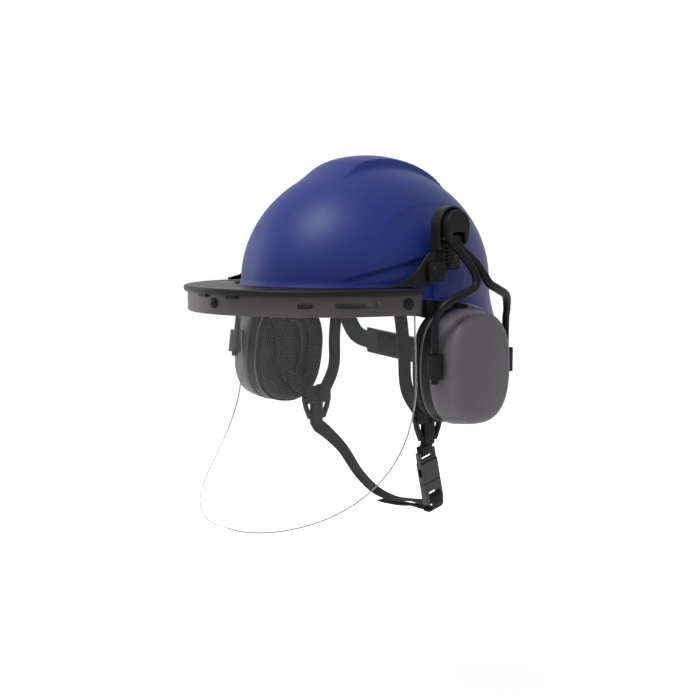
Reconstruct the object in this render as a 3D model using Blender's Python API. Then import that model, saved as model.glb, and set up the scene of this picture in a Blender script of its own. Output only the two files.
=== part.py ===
"""Forestry helmet: shell, suspension, chin strap, flip-up visor and helmet-mounted ear muffs.

Sizes are in millimetres and are turned into metres when a mesh is made. The front of the helmet
faces -Y, the wearer's left is +X, and +Z is up. The origin is the middle of the head opening,
level with the middle of the visor band.
"""

import math

import bmesh
import bpy
from mathutils import Matrix, Vector

MM = 0.001
GAP = 0.35  # between pieces that touch or press together

# Shell
SHELL_HALF_WIDTH = 105.5
SHELL_HALF_LENGTH = 126.7
SHELL_CROWN = 110.0  # crown above the widest level
SHELL_LEVEL = 14.0  # height of the widest level
SHELL_WALL = 2.6
RIDGE_HEIGHT = 6.0
RIDGE_HALF_WIDTH = 30.0
RIM_STOPS = ((0, 4.0), (78, 1.5), (104, -5.0), (116, -11.0), (130, -27.0), (180, -30.0))
FLARE_STOPS = ((0, 3.0), (50, 1.0), (90, 0.0), (125, 6.0), (180, 14.0))

# Accessory slot on each side, and the adapter that fills it
HUB_Y = -8.0
HUB_Z = 65.0
HUB_RADIUS = 14.5
BLADE_WIDTH = 26.0
BLADE_THICK = 2.4
BLADE_TIP_Z = 5.0
SLOT_WALL = 2.2
BOSS_TOP_Z = 27.0
BOSS_BOTTOM_Z = 2.0
BOSS_Y = -2.0
ADAPTER_HALF_WIDTH = 18.0
ADAPTER_THICK = 3.5
HOOD_WALL = 2.1
HOOD_DEPTH = 7.8
SPINDLE_RADIUS = 4.0

# Visor
PIVOT_Y = -29.0
PIVOT_Z = 26.0
PIVOT_PIN_RADIUS = 3.2
PIVOT_HEAD_RADIUS = 8.5
PIVOT_HEAD_HEIGHT = 3.6
VISOR_CENTRE_Y = -53.0
BAND_HALF_LENGTH = 127.3
BAND_HALF_WIDTH = 122.9
BAND_HEIGHT = 19.5
BAND_THICK = 1.6
BAND_SLOTS = ((38.6, 44.7), (53.0, 70.4))  # degrees from the front, on both sides
BAND_SLOT_LOW = -2.6
BAND_SLOT_HIGH = 2.6
LENS_PIN_TURN = 83.3  # degrees from the front
LENS_PIN_RADIUS = 2.2
PLATE_THICK = 2.7
PLATE_OVERHANG = 3.5
LIP_HEIGHT = 7.3
LIP_THICK = 1.6
PLATE_CLEARANCE = 6.0
ARM_THICK = 3.0
LENS_THICK = 1.0
LENS_DROP = 198.0
LENS_LEAN = 0.04

# Ear muffs
CUP_Y = 5.0
CUP_Z = -59.0
CUP_HALF_WIDTH = 41.0
CUP_HALF_HEIGHT = 51.5
CUP_INNER_X = 106.3
CUP_DEPTH = 41.5
CUP_WALL = 2.5
SEAT_THICK = 2.7
SEAT_BORDER = 1.5
CUSHION_THICK = 14.4
FOAM_INSET = 12.0
CUSHION_HOLE_HALF_WIDTH = 19.0
CUSHION_HOLE_HALF_HEIGHT = 30.0
TILT_X = 128.0
TILT_Z = -55.0
LEG_RADIUS = 3.25
LEG_SPREAD = 46.5  # from the cup's middle to each leg
LEG_END_Z = -70.0
LUG_HEIGHT = 22.0
TILT_PIN_RADIUS = 2.0
YOKE_HINGE_X = 117.5
YOKE_HINGE_Z = 55.0
RIGHT_MUFF_SWING = 8.0  # degrees forward of the left one, about the hub

# Suspension
HEADBAND_HALF_WIDTH = 80.0
HEADBAND_HALF_LENGTH = 100.0
HEADBAND_THICK = 1.6
HEADBAND_HEIGHT = 24.0
HEADBAND_FRONT_Z = 12.0
SIDE_Z = -8.0
SLEEVE_START_Y = 4.0
SLEEVE_END_Y = 20.0
NAPE_TIGHTEN = 14.0  # forward travel of the nape unit, which its arms stay straight for
NAPE_Z = -65.0
NAPE_ARM_HEIGHT = 17.0
NAPE_ARM_THICK = 1.4
NAPE_HEIGHT = 25.0
NAPE_DEPTH = 8.0
NAPE_SPAN = 52.0
KNOB_RADIUS = 17.0
KNOB_DEPTH = 12.0
PINION_RADIUS = 6.0
NAPE_PAD_THICK = 5.0
PINION_TEETH = 12
SHAFT_RADIUS = 3.0
KEY_ANGLE = 63.0
KEY_REACH = 95.0
KEY_WIDTH = 20.0
KEY_HALF_DEPTH = 7.0
KEY_HEIGHTS = {"front": (0.0, 14.0), "rear": (4.0, 18.0)}
CROWN_STRAP_TOP = 92.0
WEBBING_THICK = 1.5
CRADLE_WIDTH = 19.0
CHIN_WIDTH = 15.0

# Chin strap. The slider's X is its distance from the middle plane.
STRAP_X = 85.0
SLIDERS = {"left": Vector((82.5, -2.0, -118.5)), "right": Vector((82.0, 8.0, -118.5))}
SLIDER_HALF_HEIGHT = 10.5
BUCKLE_MIDDLE = Vector((81.0, 2.0, -162.5))
BUCKLE_TILT = 13.5
BUCKLE_WIDTH = 22.0
BUCKLE_THICK = 8.6
BUCKLE_HALF_LENGTH = 25.0

LOOKS = {
    "shell_blue": ((0.035, 0.06, 0.42), 0.42, 0.0),
    "black_plastic": ((0.025, 0.025, 0.028), 0.55, 0.0),
    "band_metal": ((0.12, 0.11, 0.11), 0.35, 0.6),
    "cup_grey": ((0.22, 0.21, 0.24), 0.55, 0.0),
    "clear_sheet": ((0.9, 0.93, 0.95), 0.08, 0.0),
    "cushion_black": ((0.02, 0.02, 0.02), 0.7, 0.0),
    "foam_grey": ((0.12, 0.12, 0.12), 0.95, 0.0),
    "webbing_black": ((0.03, 0.03, 0.03), 0.85, 0.0),
    "buckle_grey": ((0.1, 0.1, 0.11), 0.5, 0.0),
    "steel": ((0.6, 0.6, 0.6), 0.3, 1.0),
    "band_grey": ((0.16, 0.16, 0.17), 0.6, 0.0),
}


# Scene, materials and objects


def clear_scene():
    for thing in list(bpy.data.objects):
        bpy.data.objects.remove(thing, do_unlink=True)


def material(name):
    found = bpy.data.materials.get(name)
    if found:
        return found
    colour, rough, metal = LOOKS[name]
    made = bpy.data.materials.new(name)
    made.use_nodes = True
    shader = made.node_tree.nodes["Principled BSDF"]
    shader.inputs["Base Color"].default_value = (*colour, 1.0)
    shader.inputs["Roughness"].default_value = rough
    shader.inputs["Metallic"].default_value = metal
    return made


def mesh_of(name, shape):
    bmesh.ops.recalc_face_normals(shape, faces=shape.faces)
    if shape.calc_volume(signed=True) < 0:
        bmesh.ops.reverse_faces(shape, faces=shape.faces)
    mesh = bpy.data.meshes.new(name)
    shape.to_mesh(mesh)
    shape.free()
    return mesh


def add_joint(name, place, parent=None):
    """An empty on a joint's axis. The nodes that the joint moves hang from it."""
    empty = bpy.data.objects.new(name, None)
    empty.empty_display_size = 0.01
    bpy.context.scene.collection.objects.link(empty)
    at = Vector(place) * MM
    empty.location = at - (Vector(parent["place"]) if parent else Vector())
    empty.parent = parent
    empty["place"] = at
    return empty


def add_node(name, look, shape, joint=None, cuts=(), joins=()):
    """A named solid from a shape in world millimetres, with its origin on its joint."""
    at = Vector(joint["place"]) if joint else Vector()
    into_metres = Matrix.Translation(-at) @ Matrix.Scale(MM, 4)
    shape.transform(into_metres)
    node = bpy.data.objects.new(name, mesh_of(name, shape))
    bpy.context.scene.collection.objects.link(node)
    node.parent = joint
    node.data.materials.append(material(look))
    steps = [("UNION", extra) for extra in joins] + [("DIFFERENCE", extra) for extra in cuts]
    for count, (operation, extra) in enumerate(steps):
        extra.transform(into_metres)
        helper_name = f"{name}_helper_{count}"
        helper = bpy.data.objects.new(helper_name, mesh_of(helper_name, extra))
        bpy.context.scene.collection.objects.link(helper)
        helper.parent = joint
        helper.hide_render = True
        helper.display_type = "WIRE"
        boolean = node.modifiers.new(helper_name, "BOOLEAN")
        boolean.operation = operation
        boolean.solver = "EXACT"
        boolean.object = helper
    node.data.shade_smooth()
    node.data.set_sharp_from_angle(angle=math.radians(35))
    return node


# Shapes


def loft(rings, closed=False):
    """Bridges rings of points into one closed body, with a cap on each end ring."""
    shape = bmesh.new()
    loops = [[shape.verts.new(point) for point in ring] for ring in rings]
    pairs = list(zip(loops, loops[1:]))
    if closed:
        pairs.append((loops[-1], loops[0]))
    else:
        shape.faces.new(loops[0])
        shape.faces.new(loops[-1])
    for low, high in pairs:
        for i in range(len(low)):
            j = (i + 1) % len(low)
            shape.faces.new((low[i], low[j], high[j], high[i]))
    return shape


def prism(outline, low, high, axis="X"):
    """An outline drawn across an axis, extruded from low to high along it."""
    place = {
        "X": lambda a, b, h: (h, a, b),
        "Y": lambda a, b, h: (a, h, b),
        "Z": lambda a, b, h: (a, b, h),
    }[axis]
    return loft([[place(a, b, height) for a, b in outline] for height in (low, high)])


def box(low, high):
    outline = ((low[0], low[1]), (high[0], low[1]), (high[0], high[1]), (low[0], high[1]))
    return prism(outline, low[2], high[2], "Z")


def disc(centre, radius, low, high, axis="X", sides=28):
    turn = [2 * math.pi * i / sides for i in range(sides)]
    outline = [(centre[0] + radius * math.cos(a), centre[1] + radius * math.sin(a)) for a in turn]
    return prism(outline, low, high, axis)


def arc(centre, radius, start, end, steps):
    """Points on a circle, with the angles in degrees."""
    turn = [math.radians(start + (end - start) * i / steps) for i in range(steps + 1)]
    return [(centre[0] + radius * math.cos(a), centre[1] + radius * math.sin(a)) for a in turn]


def rounded(centre, half_a, half_b, radius, steps=3):
    """A rounded rectangle's outline."""
    corners = ((1, 1, 0), (-1, 1, 90), (-1, -1, 180), (1, -1, 270))
    points = []
    for side_a, side_b, start in corners:
        middle = (centre[0] + side_a * (half_a - radius), centre[1] + side_b * (half_b - radius))
        points += arc(middle, radius, start, start + 90, steps)
    return points


def mixed(stops, where):
    """A smooth value between stops of (place, value)."""
    for (a, low), (b, high) in zip(stops, stops[1:]):
        if where <= b:
            share = max(0.0, (where - a) / (b - a))
            share = share * share * (3 - 2 * share)
            return low + (high - low) * share
    return stops[-1][1]


def smooth_path(points, steps=6):
    """A Catmull-Rom curve through the points."""
    points = [Vector(point) for point in points]
    padded = [2 * points[0] - points[1], *points, 2 * points[-1] - points[-2]]
    found = []
    for a, b, c, d in zip(padded, padded[1:], padded[2:], padded[3:]):
        for i in range(steps):
            t = i / steps
            bend = (2 * a - 5 * b + 4 * c - d) * t * t + (3 * b - a - 3 * c + d) * t**3
            found.append(0.5 * (2 * b + (c - a) * t + bend))
    return [*found, points[-1]]


def tangents(path, points):
    """Directions along a smooth path, which leaves and arrives exactly as its points do."""
    first = Vector(points[1]) - Vector(points[0])
    last = Vector(points[-1]) - Vector(points[-2])
    inner = [after - before for before, after in zip(path, path[2:])]
    return [step.normalized() for step in (first, *inner, last)]


def rod(points, radius, sides=8, steps=3):
    path = smooth_path(points, steps)
    rings = []
    across = Vector((0, 1, 0.2))
    for at, along in zip(path, tangents(path, points)):
        across = (across - along * across.dot(along)).normalized()
        other = along.cross(across)
        turn = [2 * math.pi * i / sides for i in range(sides)]
        rings.append([at + radius * (across * math.cos(a) + other * math.sin(a)) for a in turn])
    return loft(rings)


def strap(points, width, thick, facing, steps=3):
    """A flat strap, straight between its first and last two points and smooth in between.

    Facing gives the way out of its flat side at a point.
    """
    middle = smooth_path(points[1:-1], steps)
    path = [Vector(points[0]), *middle, Vector(points[-1])]
    first = path[1] - path[0]
    last = path[-1] - path[-2]
    turning = [after - before for before, after in zip(middle, middle[2:])]
    rings = []
    for at, along in zip(path, (first, first, *turning, last, last)):
        along = along.normalized()
        out = facing(at)
        out = (out - along * out.dot(along)).normalized()
        side = along.cross(out) * width / 2
        out = out * thick / 2
        rings.append([at - side - out, at + side - out, at + side + out, at - side + out])
    return loft(rings)


def mirrored(shape, side):
    """The left side's shape for side 1, and its mirror image for side -1."""
    if side < 0:
        bmesh.ops.scale(shape, vec=(-1, 1, 1), verts=shape.verts)
    return shape


# Shell


def ridge_lift(x, y):
    """Height of the raised crown ridge, which is pointed in front and fades at the back."""
    front, rear = -84.0, 104.0
    if not front < y < rear:
        return 0.0
    half = RIDGE_HALF_WIDTH * min(1.0, ((y - front) / 95.0) ** 0.6)
    edge = max(0.0, min(1.0, (half - abs(x)) / 5.0 + 0.5))
    fade = min(1.0, (y - front) / 25.0) * min(1.0, (rear - y) / 45.0)
    return RIDGE_HEIGHT * edge * fade


def shell_dome(angle, lift, inset=0.0):
    """A point on the dome: angle from the front towards +X, and lift from the widest level."""
    x = (SHELL_HALF_WIDTH - inset) * math.sin(angle) * math.cos(lift)
    y = -(SHELL_HALF_LENGTH - inset) * math.cos(angle) * math.cos(lift)
    z = SHELL_LEVEL + (SHELL_CROWN - inset) * math.sin(lift)
    return Vector((x, y, z + ridge_lift(x, y) * math.sin(lift)))


def turned_angle(angle):
    """Degrees away from the front, 0 to 180 on either side."""
    degrees = math.degrees(angle) % 360
    return min(degrees, 360 - degrees)


def shell_skirt(angle, share, inset=0.0):
    """A point below the widest level, at a share of the way down to the rim."""
    turned = turned_angle(angle)
    rim = mixed(RIM_STOPS, turned)
    out = mixed(FLARE_STOPS, turned) * share * share - inset
    x = (SHELL_HALF_WIDTH + out) * math.sin(angle)
    y = -(SHELL_HALF_LENGTH + out) * math.cos(angle)
    return Vector((x, y, SHELL_LEVEL + (rim - SHELL_LEVEL) * share))


def build_shell():
    around, skirt_steps = 44, 3
    lifts = [math.radians(a) for a in (83, 74, 64, 54, 44, 34, 24, 12)]
    turns = [2 * math.pi * (i + 0.5) / around for i in range(around)]
    shares = [(i + 1) / skirt_steps for i in range(skirt_steps)]
    outer = [[shell_dome(a, lift) for a in turns] for lift in lifts]
    outer += [[shell_skirt(a, share) for a in turns] for share in (0.0, *shares)]
    inner = [[shell_dome(a, lift, SHELL_WALL) for a in turns] for lift in lifts]
    inner += [[shell_skirt(a, share, SHELL_WALL) for a in turns] for share in (0.0, *shares)]
    bosses = []
    slots = []
    for side in (1, -1):
        half = BLADE_WIDTH / 2 + SLOT_WALL + 2.0
        inside = SHELL_HALF_WIDTH - 1.5
        outside = blade_x()[1] + GAP + SLOT_WALL
        outline = [
            (inside, BOSS_BOTTOM_Z),
            (outside - 2.5, BOSS_BOTTOM_Z),
            (outside, BOSS_BOTTOM_Z + 4),
            (outside, BOSS_TOP_Z),
            (inside - 2.5, BOSS_TOP_Z),
        ]
        boss = prism(outline, BOSS_Y - half, BOSS_Y + half, "Y")
        bosses.append(mirrored(boss, side))
        low = (blade_x()[0] - GAP, BOSS_Y - BLADE_WIDTH / 2 - GAP, BLADE_TIP_Z - GAP)
        high = (blade_x()[1] + GAP, BOSS_Y + BLADE_WIDTH / 2 + GAP, BOSS_TOP_Z + 5)
        slots.append(mirrored(box(low, high), side))
    shell = loft([*outer, *reversed(inner)])
    add_node("shell", "shell_blue", shell, joins=bosses, cuts=slots)


# Adapters


def blade_x():
    """The adapter blade's inner and outer X on the left side."""
    inner = SHELL_HALF_WIDTH + 1.3
    return inner, inner + BLADE_THICK


def adapter_face_x():
    return blade_x()[0] + ADAPTER_THICK


def arm_x():
    """The visor arm's inner and outer X on the left side."""
    inner = adapter_face_x() + 1.8
    return inner, inner + ARM_THICK


def hub_x():
    inner = adapter_face_x() + GAP
    return inner, inner + 13.9


def build_adapter(side, name):
    face = adapter_face_x()
    back = blade_x()[0]
    front_y = HUB_Y - ADAPTER_HALF_WIDTH
    rear_y = HUB_Y + ADAPTER_HALF_WIDTH
    hub = (HUB_Y, HUB_Z)
    foot = BOSS_TOP_Z + 3.0
    top = arc(hub, ADAPTER_HALF_WIDTH, 0, 180, 14)
    neck = [(front_y, 46), (PIVOT_Y + 6, foot + 3), (rear_y - 12, foot), (rear_y, 46)]
    # The backs are stepped, because flush faces would leave slivers where the shapes join.
    plate = prism([*top, *neck], back + 0.3, face)
    blade_low = (back, BOSS_Y - BLADE_WIDTH / 2, BLADE_TIP_Z)
    blade_high = (blade_x()[1], BOSS_Y + BLADE_WIDTH / 2, foot + 8)
    blade = box(blade_low, blade_high)
    outside = arc(hub, ADAPTER_HALF_WIDTH, 40, 180, 12)
    inside = arc(hub, ADAPTER_HALF_WIDTH - HOOD_WALL, 180, 40, 12)
    hood_outline = [*outside, (front_y, 44), (front_y + HOOD_WALL, 44), *inside]
    hood = prism(hood_outline, back + 0.9, face + HOOD_DEPTH)
    web_outline = arc((PIVOT_Y, PIVOT_Z), PIVOT_HEAD_RADIUS, 90, 360, 16)
    web_outline += [(PIVOT_Y + PIVOT_HEAD_RADIUS, foot), (-12, foot), (-12, 43), (front_y + 0.5, 43.5)]
    web = prism(web_outline, back + 0.6, arm_x()[0] - GAP)
    spindle = disc(hub, SPINDLE_RADIUS, back + 1.2, hub_x()[0] + 9.0)
    pin_hole = disc((PIVOT_Y, PIVOT_Z), PIVOT_PIN_RADIUS + GAP, back + 1.5, face + 9)
    shapes = [blade, hood, web, spindle]
    add_node(
        f"adapter_{name}",
        "black_plastic",
        mirrored(plate, side),
        joins=[mirrored(extra, side) for extra in shapes],
        cuts=[mirrored(pin_hole, side)],
    )
    head_low = arm_x()[1] + GAP
    outline = rounded((PIVOT_Y, PIVOT_Z), PIVOT_HEAD_RADIUS + 1, PIVOT_HEAD_RADIUS, 3)
    head = prism(outline, head_low, head_low + PIVOT_HEAD_HEIGHT)
    stem = disc((PIVOT_Y, PIVOT_Z), PIVOT_PIN_RADIUS, back + 2.1, head_low + 1.5)
    dial = disc((PIVOT_Y, PIVOT_Z), PIVOT_HEAD_RADIUS - 2.5, head_low + 3, head_low + 5)
    add_node(
        f"visor_pivot_{name}",
        "black_plastic",
        mirrored(head, side),
        joins=[mirrored(stem, side), mirrored(dial, side)],
    )


# Visor


def band_point(turned, inset, z):
    """A point on the visor band at an angle from the front, inset from its outer face."""
    angle = math.radians(turned)
    x = (BAND_HALF_WIDTH - inset) * math.sin(angle)
    y = VISOR_CENTRE_Y - (BAND_HALF_LENGTH - inset) * math.cos(angle)
    return Vector((x, y, z))


def plate_edge_point(turned, z):
    """A point on the plate's inner edge, which keeps clear of the shell as the visor flips up."""
    angle = math.radians(turned)
    x = (SHELL_HALF_WIDTH + PLATE_CLEARANCE) * math.sin(angle)
    y = -(SHELL_HALF_LENGTH + PLATE_CLEARANCE) * math.cos(angle)
    return Vector((x, y, z))


def build_band(joint):
    half = BAND_HEIGHT / 2
    turns = [-90 + 180 * i / 36 for i in range(37)]
    rings = []
    for turned in turns:
        corners = ((0, -half), (0, half), (BAND_THICK, half), (BAND_THICK, -half))
        rings.append([band_point(turned, inset, z) for inset, z in corners])
    cuts = []
    for side in (1, -1):
        for start, end in BAND_SLOTS:
            low, high = BAND_SLOT_LOW, BAND_SLOT_HIGH
            slot = []
            for i in range(7):
                turned = side * (start + (end - start) * i / 6)
                corners = ((-4, low), (-4, high), (6, high), (6, low))
                slot.append([band_point(turned, inset, z) for inset, z in corners])
            cuts.append(loft(slot))
    for turned in (0, LENS_PIN_TURN, -LENS_PIN_TURN):
        cuts.append(pin_shape(turned, LENS_PIN_RADIUS + GAP, -5, 8))
    add_node("visor_band", "band_metal", loft(rings), joint, cuts=cuts)


def pin_shape(turned, radius, low, high):
    """A round pin through the band, from low to high inward of its outer face."""
    shape = disc((0, 0), radius, low, high, "Y", 16)
    angle = math.radians(turned)
    out = Vector((math.sin(angle) / BAND_HALF_WIDTH, -math.cos(angle) / BAND_HALF_LENGTH, 0))
    turn = out.to_track_quat("-Y", "Z").to_matrix().to_4x4()
    shape.transform(Matrix.Translation(band_point(turned, 0, 0)) @ turn)
    return shape


def build_lens(joint):
    """The clear sheet hangs behind the band and ends in a rounded lower edge."""
    outset = BAND_THICK + GAP
    top = BAND_HEIGHT / 2 - 2
    middle = -60.0
    drop = LENS_DROP + middle
    rows = [top, -20.0, middle]
    rows += [middle - drop * math.sin(math.radians(a)) for a in (24, 42, 56, 67, 76, 82, 87)]
    rings = []
    for z in rows:
        below = max(0.0, (middle - z) / drop)
        reach = 88.0 * (1 - below**2.2) ** (1 / 2.2)
        turns = [reach * i / 11 for i in range(-11, 12)]
        lean = max(0.0, top - z) * LENS_LEAN
        ring = []
        for inset, order in ((outset, turns), (outset + LENS_THICK, list(reversed(turns)))):
            ring += [band_point(turned, inset, z) + Vector((0, lean, 0)) for turned in order]
        rings.append(ring)
    turns = (0, LENS_PIN_TURN, -LENS_PIN_TURN)
    cuts = [pin_shape(turned, LENS_PIN_RADIUS + GAP, -5, 9) for turned in turns]
    add_node("lens", "clear_sheet", loft(rings), joint, cuts=cuts)


def build_plate(joint):
    under = BAND_HEIGHT / 2 + GAP
    top = under + PLATE_THICK
    lip = top - LIP_HEIGHT
    turns = [-90 + 180 * i / 36 for i in range(37)]
    rings = []
    for turned in turns:
        outer = [band_point(turned, inset, 0) for inset in (-PLATE_OVERHANG, LIP_THICK - PLATE_OVERHANG)]
        share = turned / 90
        inner_turn = math.copysign(inner_edge_limit() * abs(share), share)
        inner = plate_edge_point(inner_turn, 0)
        corners = [(inner, under), (inner, top), (outer[0], top)]
        corners += [(outer[0], lip), (outer[1], lip), (outer[1], under)]
        rings.append([Vector((at.x, at.y, z)) for at, z in corners])
    add_node("visor_plate", "black_plastic", loft(rings), joint)


def inner_edge_limit():
    """The angle at which the plate's inner edge reaches the visor band's ends."""
    return math.degrees(math.acos(-VISOR_CENTRE_Y / (SHELL_HALF_LENGTH + PLATE_CLEARANCE)))


def build_visor_arm(side, name, joint):
    base = BAND_HEIGHT / 2 + 2 * GAP + PLATE_THICK
    pivot = (PIVOT_Y, PIVOT_Z)
    outline = [
        (-77, base),
        (-52, base),
        (-34, base + 1.5),
        *arc(pivot, 10.0, -80, 80, 8),
        (-34, 43.0),
        (-39, 38.5),
        (-50, 27.0),
        (-64, 18.0),
        (-77, base + 2.2),
    ]
    inner, outer = arm_x()
    arm = prism(outline, inner, outer)
    foot = box((inner, -77, base), (inner + 8, -56, base + 2.2))
    hole = disc(pivot, PIVOT_PIN_RADIUS + GAP, inner - 3, outer + 3)
    add_node(
        f"visor_arm_{name}",
        "black_plastic",
        mirrored(arm, side),
        joint,
        joins=[mirrored(foot, side)],
        cuts=[mirrored(hole, side)],
    )


def build_visor():
    joint = add_joint("visor_joint", (0, PIVOT_Y, PIVOT_Z))
    build_band(joint)
    build_lens(joint)
    build_plate(joint)
    build_visor_arm(1, "left", joint)
    build_visor_arm(-1, "right", joint)
    for name, turned in (("front", 0), ("left", LENS_PIN_TURN), ("right", -LENS_PIN_TURN)):
        radius = 4.4 if turned == 0 else 5.0
        stem = pin_shape(turned, LENS_PIN_RADIUS, -1.5, BAND_THICK + LENS_THICK + 2)
        head = pin_shape(turned, radius, -3.2, -GAP)
        add_node(f"lens_pin_{name}", "black_plastic", head, joint, joins=[stem])


# Ear muffs


def egg(x, half_width, half_height, power=2.5, count=24):
    """A cup outline across X, as a rounded oval."""
    ring = []
    for i in range(count):
        angle = 2 * math.pi * i / count
        across = math.copysign(abs(math.cos(angle)) ** (2 / power), math.cos(angle))
        up = math.copysign(abs(math.sin(angle)) ** (2 / power), math.sin(angle))
        ring.append((x, CUP_Y + half_width * across, CUP_Z + half_height * up))
    return ring


def cup_stations():
    """Depth and inset of the cup's outline, from its open side to its outer face."""
    return ((0.0, 0.0), (0.25, 0.0), (0.52, 1.5), (0.74, 5.0), (0.89, 10.0), (0.97, 16.5), (1.0, 23.0))


def cup_shape():
    outer = []
    inner = []
    for share, inset in cup_stations():
        half_width = CUP_HALF_WIDTH - inset
        half_height = CUP_HALF_HEIGHT - inset
        outer.append(egg(CUP_INNER_X + CUP_DEPTH * share, half_width, half_height))
        depth = CUP_INNER_X + (CUP_DEPTH - CUP_WALL) * share
        inner.append(egg(depth, half_width - CUP_WALL, half_height - CUP_WALL))
    return loft([*reversed(outer), *inner])


def ring_plate(low, high, outside, inside, count=24):
    """A flat oval ring between two X planes."""
    outer = [egg(x, *outside, count=count) for x in (low, high)]
    inner = [egg(x, *inside, power=2.2, count=count) for x in (high, low)]
    return loft([*outer, *inner], closed=True)


def leg_routes():
    """Both legs of the yoke, from the hub out and down, then apart to the cup's two sides."""
    front_y = CUP_Y - LEG_SPREAD
    rear_y = CUP_Y + LEG_SPREAD
    front = [
        (118.0, -11.6, 54.0),
        (121.5, -11.0, 49.0),
        (126.0, -7.0, 42.0),
        (132.0, -3.0, 33.0),
        (138.0, -1.0, 22.0),
        (140.0, -4.0, 12.5),
        (138.5, -18.0, 6.5),
        (134.0, front_y + 8, -1.0),
        (129.5, front_y + 1, -12.0),
        (TILT_X, front_y, -26.0),
        (TILT_X, front_y, LEG_END_Z),
    ]
    rear = [
        (118.0, -4.4, 54.0),
        (121.5, -4.9, 49.0),
        (126.0, -1.2, 42.5),
        (132.0, 5.0, 34.0),
        (138.0, 8.5, 24.0),
        (140.0, 15.0, 15.0),
        (139.0, 28.0, 9.5),
        (135.5, rear_y - 9, 3.5),
        (130.5, rear_y - 1.5, -8.0),
        (TILT_X, rear_y, -22.0),
        (TILT_X, rear_y, LEG_END_Z),
    ]
    return front, rear


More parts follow.
